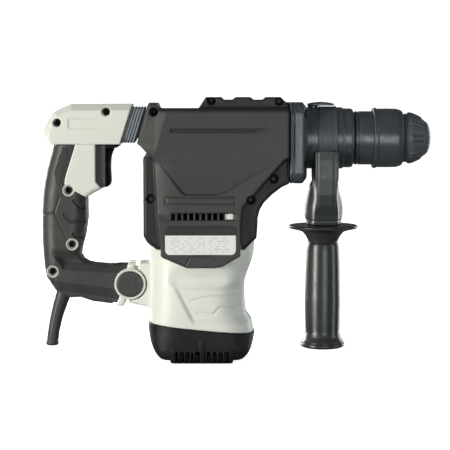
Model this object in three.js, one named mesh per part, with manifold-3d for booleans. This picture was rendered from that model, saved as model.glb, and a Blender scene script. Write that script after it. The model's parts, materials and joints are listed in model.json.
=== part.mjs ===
// A rotary hammer with an upright motor, as a scene graph of separate pieces in millimetres.
// +X points at the chuck, +Z is up, and the tool stands on the motor's end cap at z = 0.
// The motor's axis is x = 0, y = 0, and the chuck's axis lies at z = TOOL_Z.
import * as THREE from "three";
import { mergeVertices } from "three/addons/utils/BufferGeometryUtils.js";
import { ConvexGeometry } from "three/addons/geometries/ConvexGeometry.js";
import Module from "manifold-3d";

const wasm = await Module();
wasm.setup();

// ---- Driving dimensions ----
const GAP = 0.3; // space left between pieces that touch
const PLAY = 0.12; // radial play of a piece that turns or slides in a bore
const TOOL_Z = 221; // height of the chuck's axis
const SEAM = GAP / 2; // each clamshell half stops this far from the middle plane

const COVER = { face: 45.5, strip: 36, cavity: 41.8, rail: 16 };
const VENT = { left: -29.2, low: 142, high: 149, slot: 4, pitch: 5.85, count: 10 };
const PLATE = { left: -35.3, right: 33.7, low: 108.4, high: 136.7, thick: 0.6, corner: 5 };
const FLANGE = { back: 86, front: 103, halfWidth: 37, low: 177, high: 256.5 };
const FLANGE_SCREWS = [
  { y: -29.5, z: 24 }, { y: -29.5, z: -24 }, { y: 29.5, z: 24 }, { y: 29.5, z: -24 },
];
const COLLAR = { radius: 30.5, end: 150, front: 29.2 };
const LEVER = { x: 110.3, back: 6, tip: 131.5, low: 32, high: 35.8 }; // low and high are above TOOL_Z
const CHUCK = { ring: 26.5, sleeve: 30, sleeveBack: 169.3, sleeveFront: 199, tip: 226.5 };

const CAP_SEAM = { middle: 33.6, slope: -0.099 }; // the end cap's upper edge leans along X
const FOOT = { halfLength: 31, halfWidth: 30, height: 5 };
const PIVOT = { x: -71.2, z: 76.7, ring: 15.5, cap: 12.8, pin: 4, lug: 10, eye: 12 };
const ARM = { half: 19, grip: 17.5, core: 12.5 };
const BOSSES = [
  { x: -131.5, z: 169.7 },
  { x: -128.4, z: 116.1 },
  { x: -147.8, z: 89 },
];
const BOSS = { ring: 6, hole: 2.6, head: 4.2, headDepth: 3.5 };

const SIDE_GRIP_X = 121;
const STRAP = { inner: 30.7, outer: 31.6, back: 116, front: 133 };

const MODULE = 1.2;
const SIDES = 24; // facets of a round piece
const TEETH = { pinion: 8, crank: 34, middle: 30, bevelPinion: 8, bevelRing: 24 };
const CRANK_X = (-MODULE * (TEETH.pinion + TEETH.crank)) / 2;
const MIDDLE_X = (MODULE * (TEETH.pinion + TEETH.middle)) / 2;
const SPUR = { low: 178, high: 186 };
const BEVEL = { outer: 22.5, inner: 18 }; // pitch radii of the ring gear's teeth
const CYLINDER = { bore: 14, outer: 16.5, back: 12, front: 82 };
const STATOR = { outer: 36.5, bore: 24.5, low: 48, high: 100 };

// ---- Outlines ----
const polygon = (points) => new THREE.Shape(points.map(([u, v]) => new THREE.Vector2(u, v)));

function circle([u, v], radius, sides = 12) {
  return Array.from({ length: sides }, (_, i) => {
    const angle = (2 * Math.PI * (i + 0.5)) / sides;
    return [u + radius * Math.cos(angle), v + radius * Math.sin(angle)];
  });
}

// A rectangle with round corners, centred on (u, v).
function roundedBox([u, v], halfU, halfV, corner, steps = 4) {
  const points = [];
  for (let quarter = 0; quarter < 4; quarter++) {
    const signU = quarter === 0 || quarter === 3 ? 1 : -1;
    const signV = quarter < 2 ? 1 : -1;
    for (let i = 0; i <= steps; i++) {
      const angle = (Math.PI / 2) * (quarter + i / steps);
      points.push([
        u + signU * (halfU - corner) + corner * Math.cos(angle),
        v + signV * (halfV - corner) + corner * Math.sin(angle),
      ]);
    }
  }
  return points;
}

// An oval between two x values, squarer than an ellipse when power is over 2.
function oval(low, high, halfY, power, sides = SIDES) {
  return Array.from({ length: sides }, (_, i) => {
    const angle = (2 * Math.PI * (i + 0.5)) / sides;
    const c = Math.cos(angle);
    const s = Math.sin(angle);
    const u = Math.sign(c) * Math.abs(c) ** (2 / power);
    const v = Math.sign(s) * Math.abs(s) ** (2 / power);
    return [(low + high) / 2 + (u * (high - low)) / 2, halfY * v];
  });
}

// Moves each edge of an outline inwards by a distance, or outwards when it is negative.
function inset(points, distance) {
  const turned = THREE.ShapeUtils.area(points.map(([x, y]) => ({ x, y }))) < 0;
  const ring = turned ? [...points].reverse() : points;
  return ring.map(([u, v], i) => {
    const [pu, pv] = ring[(i + ring.length - 1) % ring.length];
    const [nu, nv] = ring[(i + 1) % ring.length];
    const before = new THREE.Vector2(u - pu, v - pv).normalize();
    const after = new THREE.Vector2(nu - u, nv - v).normalize();
    const normal = new THREE.Vector2(-before.y - after.y, before.x + after.x).normalize();
    const lean = Math.max(0.5, normal.dot(new THREE.Vector2(-before.y, before.x)));
    return [u + (normal.x * distance) / lean, v + (normal.y * distance) / lean];
  });
}

function smooth(points, divisions) {
  const curve = new THREE.CatmullRomCurve3(points.map(([u, v]) => new THREE.Vector3(u, v, 0)));
  return curve.getPoints(divisions).map((p) => [p.x, p.y]);
}

// ---- Solids ----
// Local u, v and depth of an outline that is drawn across each axis.
const ACROSS = {
  x: new THREE.Matrix4().set(0, 0, 1, 0, 1, 0, 0, 0, 0, 1, 0, 0, 0, 0, 0, 1),
  y: new THREE.Matrix4().set(1, 0, 0, 0, 0, 0, -1, 0, 0, 1, 0, 0, 0, 0, 0, 1),
  z: new THREE.Matrix4(),
};

function solid(geometry) {
  const bare = geometry.clone();
  bare.deleteAttribute("normal");
  bare.deleteAttribute("uv");
  const merged = mergeVertices(bare, 1e-4);
  const corners = merged.index.array;
  const triangles = [];
  for (let i = 0; i < corners.length; i += 3) {
    const [a, b, c] = corners.slice(i, i + 3);
    if (a !== b && b !== c && c !== a) triangles.push(a, b, c);
  }
  return new wasm.Manifold(
    new wasm.Mesh({
      numProp: 3,
      vertProperties: new Float32Array(merged.attributes.position.array),
      triVerts: new Uint32Array(triangles),
    }),
  );
}

function toGeometry(shape) {
  const mesh = shape.getMesh();
  const geometry = new THREE.BufferGeometry();
  geometry.setAttribute("position", new THREE.BufferAttribute(mesh.vertProperties, 3));
  geometry.setIndex(new THREE.BufferAttribute(mesh.triVerts, 1));
  return geometry;
}

const union = (shapes) => shapes.reduce((sum, shape) => sum.add(shape));
const cut = (shape, tools) => tools.reduce((rest, tool) => rest.subtract(tool), shape);

function extrude(outline, axis, from, to) {
  const geometry = new THREE.ExtrudeGeometry(polygon(outline), {
    depth: to - from,
    bevelEnabled: false,
  });
  geometry.translate(0, 0, axis === "y" ? -to : from);
  return solid(geometry.applyMatrix4(ACROSS[axis]));
}

const ROUND = 12; // facets of a small pin or hole

const rod = (centre, radius, axis, from, to, sides = ROUND) =>
  extrude(circle(centre, radius, sides), axis, from, to);

// A hole's flat facets stay outside its radius, so that a pin of that radius fits.
const hole = (centre, radius, axis, from, to, sides = ROUND) =>
  rod(centre, radius / Math.cos(Math.PI / sides), axis, from, to, sides);

// A body through a row of outlines with equal numbers of points, each at its place on the axis.
function loft(axis, rings) {
  const sign = axis === "y" ? -1 : 1;
  const row = [...rings].sort((a, b) => sign * (a.at - b.at));
  const vectors = row.map(({ outline }) => outline.map(([x, y]) => new THREE.Vector2(x, y)));
  vectors.filter((ring) => THREE.ShapeUtils.area(ring) < 0).forEach((ring) => ring.reverse());
  const count = vectors[0].length;
  const positions = vectors.flatMap((ring, k) => ring.flatMap((p) => [p.x, p.y, sign * row[k].at]));
  const index = [];
  for (let k = 0; k + 1 < row.length; k++) {
    for (let i = 0; i < count; i++) {
      const a = k * count + i;
      const b = k * count + ((i + 1) % count);
      index.push(a, b, b + count, a, b + count, a + count);
    }
  }
  const top = (row.length - 1) * count;
  for (const [a, b, c] of THREE.ShapeUtils.triangulateShape(vectors[0], [])) index.push(c, b, a);
  for (const face of THREE.ShapeUtils.triangulateShape(vectors.at(-1), [])) {
    index.push(...face.map((i) => top + i));
  }
  const geometry = new THREE.BufferGeometry();
  geometry.setAttribute("position", new THREE.Float32BufferAttribute(positions, 3));
  geometry.setIndex(index);
  return solid(geometry.applyMatrix4(ACROSS[axis]));
}

// A body turned about an axis: each profile point is [place along the axis, radius].
function turned(axis, profile, sides = SIDES) {
  const points = profile.map(([along, radius]) => new THREE.Vector2(radius, along));
  if (THREE.ShapeUtils.area(points) < 0) points.reverse();
  const geometry = new THREE.LatheGeometry(points, sides);
  if (axis === "x") geometry.rotateZ(-Math.PI / 2);
  if (axis === "z") geometry.rotateX(Math.PI / 2);
  return solid(geometry);
}

function tube(axis, inner, outer, from, to, sides = SIDES) {
  const profile = [[from, inner], [from, outer], [to, outer], [to, inner], [from, inner]];
  return turned(axis, profile, sides);
}

function block([x0, x1], [y0, y1], [z0, z1]) {
  const box = new THREE.BoxGeometry(x1 - x0, y1 - y0, z1 - z0);
  return solid(box.translate((x0 + x1) / 2, (y0 + y1) / 2, (z0 + z1) / 2));
}

const hull = (points) => solid(new ConvexGeometry(points.map((p) => new THREE.Vector3(...p))));

function mirrored(shape) {
  const geometry = toGeometry(shape).scale(1, -1, 1);
  const index = geometry.index.array;
  for (let i = 0; i < index.length; i += 3) [index[i + 1], index[i + 2]] = [index[i + 2], index[i + 1]];
  return solid(geometry);
}

// ---- Materials and nodes ----
const FINISH = {
  cover: [0x4b4c4a, 0.62, 0],
  nose: [0x3d4347, 0.4, 0.1],
  white: [0xe2e5db, 0.42, 0],
  rubber: [0x3c3c3a, 0.8, 0],
  cap: [0x2b2c2a, 0.6, 0],
  grip: [0x444543, 0.5, 0],
  steel: [0xa8abad, 0.32, 1],
  aluminium: [0xb9bcbd, 0.45, 1],
  copper: [0xb06a3a, 0.4, 1],
  laminations: [0x6f7276, 0.5, 0.8],
  carbon: [0x26272a, 0.7, 0],
  plate: [0xe4e5dd, 0.35, 0],
};

function node(group, name, shape, finish) {
  const [color, roughness, metalness] = FINISH[finish];
  const material = new THREE.MeshStandardMaterial({ color, roughness, metalness });
  const mesh = new THREE.Mesh(toGeometry(shape), material);
  mesh.name = name;
  group.add(mesh);
}

function groupAt(parent, x, y, z) {
  const group = new THREE.Group();
  group.position.set(x, y, z);
  parent.add(group);
  return group;
}

// ---- Gear covers: two clamshell halves over the gear case ----
const COVER_FRONT_CURVE = [[83, 177], [72, 169.5], [63, 161], [57.5, 152], [54, 145]];
const COVER_OUTLINE = [
  [-52, 254], [-50, 256], [-44, 256], [-42, 250.5], [-3, 250.5], [85.7, 250.5], [85.7, 177],
  ...smooth(COVER_FRONT_CURVE, 8),
  [55, 137], [54, 124], [42, 112.5], [-44, 112.5], [-53, 119], [-57, 126],
  [-57, 202], [-53, 208], [-57, 213], [-63, 216],
];
const RAIL_OUTLINE = [
  [-4, 248], [4, 261.5], [20, 261.5], [22, 259], [31, 259], [33, 261.5], [49, 261.5],
  [51, 259], [61, 259], [63, 261.5], [78, 261.5], [83, 256.5], [85.7, 256.5], [85.7, 248],
];
const COVER_FACE = [
  [-33, 247], [84.5, 247], [84.5, 202], [81, 199.5], [41, 154], [39.5, 140], [39.5, 112.5],
  [-41, 112.5], [-43, 135], [-44.5, 168], [-46.5, 200],
];
const TONGUE = [
  [-41, 118], [-41, 106.5], [-38, 104], [-17, 95], [-15, 94], [13.5, 94], [21, 95.5], [39, 106],
  [39.5, 108], [39.5, 118],
];
const COVER_CAVITY = [
  [-44.5, 247], [80, 247], [80, 180], [56, 164], [50, 145], [50, 128], [40, 108], [-41, 108],
  [-53, 128], [-53, 200], [-50, 213],
];
const COVER_SCREWS = [
  { x: -46.3, z: 247, half: 22 }, { x: -49.5, z: 162.5, half: 36 }, { x: 48, z: 161.5, half: 36 },
  { x: 70.5, z: 181.8, half: 36 }, { x: 9.7, z: 258, half: 16 }, { x: 76.5, z: 257.5, half: 16 },
];
const COVER_SCREW = { radius: 4.2, depth: 8 };
const COVER_EDGE = 5; // width of the bevel round the skirt

function coverRight() {
  const skirt = loft("y", [
    { at: -COVER.strip, outline: inset(COVER_OUTLINE, COVER_EDGE / 2) },
    { at: COVER_EDGE - COVER.strip, outline: COVER_OUTLINE },
    { at: -SEAM, outline: COVER_OUTLINE },
  ]);
  const raised = loft("y", [
    { at: -COVER.face, outline: COVER_FACE },
    { at: -(COVER.face - 2.5), outline: inset(COVER_FACE, -1.5) },
    { at: -(COVER.strip - 6), outline: inset(COVER_FACE, -3) },
  ]);
  const rail = extrude(RAIL_OUTLINE, "y", -COVER.rail, -SEAM);
  const tongue = extrude(TONGUE, "y", -COVER.face, -COVER.cavity);
  const neckTaper = hull([
    [-29, -46, 262], [-55, -21, 262], [-110, -21, 262], [-110, -70, 262], [-29, -70, 262],
    [-46, -46, 203], [-66, -21, 203], [-110, -21, 203], [-110, -70, 203], [-46, -70, 203],
  ]);
  const outer = cut(union([skirt, raised]), [
    neckTaper,
    block([85.7, 95], [-60, 1], [100, 300]),
    block([-46, 43.5], [-COVER.cavity, 1], [80, 112.4]),
  ]);
  const slots = Array.from({ length: VENT.count }, (_, i) => {
    const left = VENT.left + i * VENT.pitch;
    return block([left, left + VENT.slot], [-60, -30], [VENT.low, VENT.high]);
  });
  const neckBore = extrude([[-75, 219], [-75, 249], [-40, 246], [-44, 222]], "y", -15, 1);
  const screwHoles = COVER_SCREWS.map(({ x, z, half }) =>
    hole([x, z], COVER_SCREW.radius, "y", -60, COVER_SCREW.depth - half),
  );
  return cut(union([outer, rail, tongue]), [
    extrude(COVER_CAVITY, "y", -COVER.strip + 3.5, 1),
    extrude(inset(COVER_FACE, 2.5), "y", -COVER.cavity, 1),
    extrude([[78, 182], [90, 182], [90, 247], [78, 247]], "y", -33, 1),
    neckBore,
    ...slots,
    ...screwHoles,
  ]);
}

function ratingPlate() {
  const middle = [(PLATE.left + PLATE.right) / 2, (PLATE.low + PLATE.high) / 2];
  const halfU = (PLATE.right - PLATE.left) / 2;
  const halfV = (PLATE.high - PLATE.low) / 2;
  const face = -COVER.face - GAP;
  return extrude(roundedBox(middle, halfU, halfV, PLATE.corner), "y", face - PLATE.thick, face);
}

// ---- Motor housing, end cap and pivot lug ----
const MOTOR_RINGS = [
  { at: 22, low: -54.5, high: 53, half: 43 },
  { at: 40, low: -53.5, high: 49.5, half: 43.5 },
  { at: 48, low: -51.8, high: 43, half: 43.5 },
  { at: 80, low: -50, high: 42.5, half: 42.5 },
  { at: 92, low: -50.5, high: 46.5, half: COVER.cavity - GAP },
  { at: 108, low: -52.5, high: 51.5, half: COVER.cavity - GAP },
  { at: 126, low: -53.5, high: 53, half: COVER.cavity - GAP },
];
const UNDER_COVER = [[-70, 131], [-53, 118.3], [-44, 112], [42, 112], [70, 139.5], [70, 150], [-70, 150]];
const CAP_RINGS = [
  { at: 4, low: -41, high: 41, half: 39.5 },
  { at: 8, low: -44.5, high: 44.5, half: 41.3 },
  { at: 20, low: -51, high: 50.5, half: 42.8 },
  { at: 45, low: -53.8, high: 53, half: 43 },
];
const OVAL_POWER = 3; // how square the motor's housing is: 2 would be an ellipse
const seamHeight = (x) => CAP_SEAM.middle + CAP_SEAM.slope * x;

// Everything under the leaning seam when lift is 0, or under a seam moved up by lift.
function belowSeam(lift) {
  const outline = [[-80, -10], [80, -10], [80, seamHeight(80) + lift], [-80, seamHeight(-80) + lift]];
  return extrude(outline, "y", -70, 70);
}

const ovalLoft = (rings, power) =>
  loft("z", rings.map(({ at, low, high, half }) => ({ at, outline: oval(low, high, half, power) })));

function pivotLug() {
  const { x, z, ring, lug, pin, eye } = PIVOT;
  const bracket = extrude([[-64.8, 53], [-45, 51], [-45, 97.5], [-64.8, 97]], "y", -17, 17);
  const ringRoom = [[-40, -lug], [lug, 40]].map(([from, to]) =>
    hole([x, z], ring + 1.2, "y", from, to, 32),
  );
  const tongue = rod([x, z], eye, "y", -lug, lug, SIDES).add(
    block([x, -50], [-lug, lug], [z - eye, z + eye]),
  );
  const pinHole = hole([x, z], pin + PLAY, "y", -30, 30);
  return cut(cut(bracket, ringRoom).add(tongue), [pinHole]);
}

function motorHousing() {
  const shell = cut(ovalLoft(MOTOR_RINGS, OVAL_POWER), [extrude(UNDER_COVER, "y", -70, 70), belowSeam(GAP)]);
  return cut(shell.add(pivotLug()), [hole([0, 0], STATOR.outer + GAP, "z", 10, 140, 32)]);
}

// The vents in the end cap, between its feet's ribs.
const CAP_VENTS = { at: [-24.9, -19, -13.3, -5.3, 6.6, 12.6, 18.6, 24.6], half: 1.4, low: 3.5, high: 12.5 };

function motorEndCap() {
  const bowl = ovalLoft(CAP_RINGS, OVAL_POWER).intersect(belowSeam(0));
  const foot = extrude(
    roundedBox([0, 0], FOOT.halfLength, FOOT.halfWidth, 8), "z", 0, FOOT.height + 3,
  );
  const slots = CAP_VENTS.at.flatMap((x) =>
    [[-50, -31], [31, 50]].map((depth) =>
      block([x - CAP_VENTS.half, x + CAP_VENTS.half], depth, [CAP_VENTS.low, CAP_VENTS.high]),
    ),
  );
  const hollow = turned("z", [[9, 0], [9, 34], [22, 38], [60, 38], [60, 0]], 40);
  const bearingSeat = tube("z", 11.3, 14, 8, 20, 28);
  return cut(bowl.add(foot), [hollow, ...slots]).add(bearingSeat);
}

// ---- Gear case: the aluminium box that holds the drive inside the covers ----
const CASE_OUTLINE = [
  [-50.5, 160], [49, 160], [79, 183], [85.4, 183], [85.4, 246.6], [-42, 246.6], [-47.5, 213],
  [-50.5, 200],
];
const CASE_ROOM = [
  [-48, 166], [48, 166], [76, 187], [90, 187], [90, 244.6], [-39.5, 244.6], [-45, 213], [-48, 200],
];

function gearCase() {
  const shell = cut(extrude(CASE_OUTLINE, "y", -32, 32), [
    extrude(CASE_ROOM, "y", -29.5, 29.5),
    ...[[CRANK_X, 8], [0, 11.3], [MIDDLE_X, 8.3]].map(([x, radius]) =>
      hole([x, 0], radius, "z", 150, 167, 16),
    ),
  ]);
  const web = cut(block([-48.5, -6], [-30, 30], [189, 199]), [
    hole([CRANK_X, 0], 15.3, "z", 180, 210, 20),
  ]);
  return shell.add(web);
}

// ---- Barrel housing: the flange and collar in front of the covers ----
function barrelHousing() {
  const middle = (FLANGE.low + FLANGE.high) / 2 - TOOL_Z;
  const halfHeight = (FLANGE.high - FLANGE.low) / 2;
  const outline = roundedBox([0, middle], FLANGE.halfWidth, halfHeight, 12, 3);
  const flange = loft("x", [
    { at: FLANGE.back + GAP, outline },
    { at: FLANGE.front - 4, outline },
    { at: FLANGE.front, outline: inset(outline, 5.5) },
  ]);
  const collar = turned("x", [
    [FLANGE.front - 5, 0], [FLANGE.front - 5, COLLAR.radius], [STRAP.front + 6, COLLAR.radius],
    [STRAP.front + 7, COLLAR.front], [COLLAR.end - 3, COLLAR.front], [COLLAR.end, 25.5],
    [COLLAR.end, 0],
  ]);
  const bore = turned("x", [
    [80, 0], [80, 24], [120, 24], [120, 16.5], [160, 16.5], [160, 0],
  ]);
  const screwHoles = FLANGE_SCREWS.map(({ y, z }) =>
    hole([y, z], 2.9, "x", 80, 110).add(
      hole([y, z], 4.6, "x", FLANGE.front - 6, 115),
    ),
  );
  const leverSeat = hole([LEVER.x, 0], 5.4, "z", COLLAR.radius - 4, 60);
  return cut(flange.add(collar), [bore, ...screwHoles, leverSeat]);
}

const flangeScrew = ({ y, z }) => {
  const head = rod([y, z], 4.2, "x", FLANGE.front - 5.7, FLANGE.front - 0.7);
  const socket = hole([y, z], 2.2, "x", FLANGE.front - 3.4, FLANGE.front, 6);
  return cut(head, [socket]).add(rod([y, z], 2.5, "x", FLANGE.back + 1, FLANGE.front - 5));
};

// The lever on the collar's top that picks the working mode.
function modeLever() {
  const middle = (LEVER.x - LEVER.back + LEVER.tip) / 2;
  const outline = roundedBox([middle, 0], LEVER.tip - middle, 6.4, 5.8);
  const head = loft("z", [
    { at: LEVER.low, outline },
    { at: LEVER.high - 1.5, outline },
    { at: LEVER.high, outline: inset(outline, 2.2) },
  ]);
  const stem = rod([LEVER.x, 0], 5, "z", COLLAR.radius - 3.5, LEVER.low + 1);
  return head.add(stem);
}

// ---- Chuck and hammer train, drawn about the tool's axis at z = 0 ----
function spindle() {
  return turned("x", [
    [CYLINDER.back, CYLINDER.bore], [CYLINDER.back, CYLINDER.outer], [CYLINDER.front, CYLINDER.outer],
    [CYLINDER.front + 2, 13.9], [170, 13.9], [170, 12], [212, 12], [212, 10.5], [218, 10.5],
    [218, 5.1], [120, 5.1], [118, 8.3], [78, 8.3], [76, CYLINDER.bore], [CYLINDER.back, CYLINDER.bore],
  ]);
}

// A straight bevel gear's teeth: wedges that all point at the apex where the two axes cross.
function bevelTeeth(count, radius, coneRise, share, phase, place) {
  const shrink = BEVEL.inner / BEVEL.outer;
  const half = (share * Math.PI) / count;
  return Array.from({ length: count }, (_, i) => {
    const angle = phase + (2 * Math.PI * i) / count;
    const corners = [];
    for (const scale of [1, shrink]) {
      for (const [lift, width] of [[-1.1, 1.25], [0.6, 0.6]]) {
        for (const side of [-1, 1]) {
          corners.push(place(angle + side * half * width, radius * scale, coneRise * scale, lift));
        }
      }
    }
    return hull(corners);
  });
}

// The ring gear faces backwards: its teeth rise towards -X from the cone's surface.
function bevelRingGear() {
  const rise = (BEVEL.outer * TEETH.bevelPinion) / TEETH.bevelRing;
  const back = MIDDLE_X + rise;
  const inner = MIDDLE_X + rise * (BEVEL.inner / BEVEL.outer);
  const bore = CYLINDER.outer + GAP;
  const body = turned("x", [
    [inner + 0.9, bore], [inner + 0.9, BEVEL.inner - 0.3], [back + 0.9, BEVEL.outer + 0.2],
    [back + 5, BEVEL.outer + 0.2], [back + 8, 20], [back + 8, bore], [inner + 0.9, bore],
  ]);
  const place = (angle, radius, along, lift) => [
    MIDDLE_X + along - lift, radius * Math.cos(angle), radius * Math.sin(angle),
  ];
  const gapAtBottom = -Math.PI / 2 + Math.PI / TEETH.bevelRing;
  const teeth = bevelTeeth(TEETH.bevelRing, BEVEL.outer, rise, 0.34, gapAtBottom, place);
  return union([body, ...teeth]);
}

const chuckRing = () =>
  turned("x", [
    [COLLAR.end + 0.8, 14.1], [COLLAR.end + 0.8, 25.6], [COLLAR.end + 2.5, CHUCK.ring],
    [CHUCK.sleeveBack + 2, CHUCK.ring], [CHUCK.sleeveBack + 2, 22], [155, 22], [155, 14.1],
    [COLLAR.end + 0.8, 14.1],
  ]);

// The sleeve slides back over the ring behind it to let the bit go.
function lockSleeve() {
  const { sleeve, sleeveBack, sleeveFront, ring } = CHUCK;
  return turned("x", [
    [sleeveBack, ring + 0.5], [sleeveBack, 29.6], [sleeveBack + 1.2, sleeve],
    [sleeveBack + 12, sleeve - 0.1], [sleeveFront - 6, sleeve - 1.6], [sleeveFront, 25.4],
    [sleeveFront, 15.9], [184, 15.9], [184, 12.1], [181.5, 12.1], [181.5, ring + 0.5],
    [sleeveBack, ring + 0.5],
  ]);
}

const SPRING_END = { back: 155.4, front: 181.2 };

function coilSpring(radius, wire, from, to, turns) {
  const steps = turns * 8;
  const points = Array.from({ length: steps + 1 }, (_, i) => {
    const angle = (2 * Math.PI * i) / 8;
    const along = from + ((to - from) * i) / steps;
    return new THREE.Vector3(along, radius * Math.cos(angle), radius * Math.sin(angle));
  });
  const path = new THREE.CatmullRomCurve3(points);
  const section = polygon(circle([0, 0], wire / 2, 5));
  const geometry = new THREE.ExtrudeGeometry(section, {
    steps, extrudePath: path, bevelEnabled: false,
  });
  return solid(geometry);
}

const dustCap = () =>
  turned("x", [
    [CHUCK.sleeveFront + GAP, 12.1], [CHUCK.sleeveFront + GAP, 24.8], [209, 24.2], [215, 21.4],
    [221, 17.8], [224.5, 14.2], [226, 10.5], [CHUCK.tip, 8.5], [CHUCK.tip, 5.6], [218.3, 5.6],
    [218.3, 12.1], [CHUCK.sleeveFront + GAP, 12.1],
  ]);

const BALL = { x: 187.5, radius: 3.2, out: 12.2 };

function lockBall(side) {
  const ball = new THREE.SphereGeometry(BALL.radius, 12, 8);
  return solid(ball.translate(BALL.x, 0, side * BALL.out));
}

// The two slots that let the lock balls through the tool holder's wall.
const ballSlots = () =>
  [-1, 1].map((side) => {
    const z = side < 0 ? [-20, -4.5] : [4.5, 20];
    return block([BALL.x - BALL.radius - 0.3, BALL.x + BALL.radius + 0.3], [-3.6, 3.6], z);
  });

const PISTON = { back: 24, front: 38, travel: 10 };

function piston() {
  const body = turned("x", [
    [PISTON.back, 0], [PISTON.back, CYLINDER.bore - PLAY], [PISTON.front, CYLINDER.bore - PLAY],
    [PISTON.front, 0],
  ]);
  return cut(body, [
    block([PISTON.back - 1, PISTON.front - 3], [-5, 5], [-9, 9]),
    hole([PISTON.back + 5.5, 0], 3.05, "y", -20, 20),
  ]);
}

const wristPin = () => rod([PISTON.back + 5.5, 0], 3, "y", -13, 13);

// The rod's big end passes above the crank pin: that pivot is left open.
function conRod() {
  const eye = { small: PISTON.back + 5.5, big: CRANK_X };
  const bar = block([eye.big + 5, eye.small - 3], [-3.4, 3.4], [-2.8, 2.8]);
  const bigEye = cut(rod([eye.big, 0], 7, "z", -2.8, 3.8, 16), [
    hole([eye.big, 0], 4.2, "z", -10, 10),
  ]);
  const smallEye = rod([eye.small, 0], 5.2, "y", -4.6, 4.6);
  const pinHole = hole([eye.small, 0], 3.1, "y", -10, 10);
  return cut(union([bar, bigEye, smallEye]), [pinHole]);
}

const striker = () =>
  turned("x", [
    [50, 0], [50, 13.6], [51.5, CYLINDER.bore - PLAY], [64, CYLINDER.bore - PLAY], [66, 11],
    [68, 7.6], [76, 7.6], [77, 6.5], [77, 0],
  ]);

const impactBolt = () =>
  turned("x", [
    [86, 0], [86, 6.6], [87, 8.2], [108, 8.2], [112, 4.7], [130, 4.7], [131, 4], [131, 0],
  ]);

// ---- Gears on upright shafts ----
function gearOutline(teeth, phase, share) {
  const pitch = (MODULE * teeth) / 2;
  const step = (2 * Math.PI) / teeth;
  const half = (share * step) / 2;
  return Array.from({ length: teeth }, (_, i) => {
    const middle = phase + i * step;
    return [
      [pitch - 1.2 * MODULE, -1.5], [pitch + 0.85 * MODULE, -0.6],
      [pitch + 0.85 * MODULE, 0.6], [pitch - 1.2 * MODULE, 1.5],
    ].map(([radius, width]) => {
      const angle = middle + width * half;
      return [radius * Math.cos(angle), radius * Math.sin(angle)];
    });
  }).flat();
}

const post = (radius, from, to, sides = 16) => extrude(circle([0, 0], radius, sides), "z", from, to);

const CRANK = { disc: 203, top: 211, pin: 4, pinTop: TOOL_Z - 4.2, throw: PISTON.travel };

function crankGear() {
  const gear = extrude(gearOutline(TEETH.crank, Math.PI / TEETH.crank, 0.4), "z", SPUR.low, SPUR.high);
  const pin = rod([0, CRANK.throw], CRANK.pin, "z", CRANK.top - 1, CRANK.pinTop);
  return union([gear, post(7.4, 167, CRANK.disc + 1), post(16.5, CRANK.disc, CRANK.top, 32), pin]);
}

function intermediateGear() {
  const phase = Math.PI / TEETH.middle;
  const gear = extrude(gearOutline(TEETH.middle, phase, 0.4), "z", SPUR.low, SPUR.high);
  const ratio = TEETH.bevelPinion / TEETH.bevelRing;
  const outer = BEVEL.outer * ratio;
  const inner = BEVEL.inner * ratio;
  const cone = turned("z", [
    [SPUR.high - 1, 0], [SPUR.high - 1, 6.2], [TOOL_Z - BEVEL.outer - 1.5, 6.2],
    [TOOL_Z - BEVEL.outer, outer - 1.1], [TOOL_Z - BEVEL.inner, inner - 1.1], [TOOL_Z - BEVEL.inner, 0],
  ]);
  const place = (angle, radius, down, lift) => [
    (radius + lift) * Math.cos(angle), (radius + lift) * Math.sin(angle), TOOL_Z - down,
  ];
  const teeth = bevelTeeth(TEETH.bevelPinion, outer, BEVEL.outer, 0.34, 0, place);
  return union([gear, post(4.4, 161, SPUR.low + 1), cone, ...teeth]);
}

// ---- Motor ----
const SHAFT = { radius: 4, low: 9.5, top: 188, core: 5 };

function armatureShaft() {
  const pinion = extrude(gearOutline(TEETH.pinion, 0, 0.4), "z", SPUR.low - 3, SPUR.high + 2);
  const shaft = turned("z", [
    [SHAFT.low, 0], [SHAFT.low, SHAFT.radius], [24, SHAFT.radius], [24, SHAFT.core],
    [150, SHAFT.core], [150, SHAFT.radius], [SPUR.low - 2, SHAFT.radius], [SPUR.low - 2, 3],
    [SHAFT.top, 3], [SHAFT.top, 0],
  ], 20);
  return shaft.add(pinion);
}

function armatureCore() {
  const slots = 12;
  const outline = Array.from({ length: slots }, (_, i) => {
    const middle = (2 * Math.PI * i) / slots;
    const half = Math.PI / slots;
    return [[23.6, -0.78], [23.9, 0], [23.6, 0.78], [19.5, 0.9], [19.5, 1.1]].map(([radius, share]) => [
      radius * Math.cos(middle + share * half),
      radius * Math.sin(middle + share * half),
    ]);
  }).flat();
  const bore = post(SHAFT.core + GAP, 40, 120);
  return cut(extrude(outline, "z", STATOR.low + 1, STATOR.high - 1), [bore]);
}

const commutator = () => tube("z", SHAFT.core + GAP, 13, 24.5, 40);

function fan() {
  const blades = 9;
  const disc = tube("z", SHAFT.core + GAP, 34, 132, 134.5);
  const hub = tube("z", SHAFT.core + GAP, 9, 132, 146);
  const parts = Array.from({ length: blades }, (_, i) => {
    const angle = (2 * Math.PI * i) / blades;
    const blade = new THREE.BoxGeometry(20, 1.6, 12);
    blade.translate(22.5, 0, 140);
    return solid(blade.rotateZ(angle));
  });
  return union([disc, hub, ...parts]);
}

const statorCore = () => {
  const ring = tube("z", STATOR.bore + 6, STATOR.outer, STATOR.low, STATOR.high, 32);
  const poles = [-1, 1].map((side) => {
    const y = side < 0 ? [-31.5, -16] : [16, 31.5];
    return block([-17, 17], y, [STATOR.low, STATOR.high]);
  });
  return cut(union([ring, ...poles]), [post(STATOR.bore, 40, 110, 32)]);
};

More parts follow.
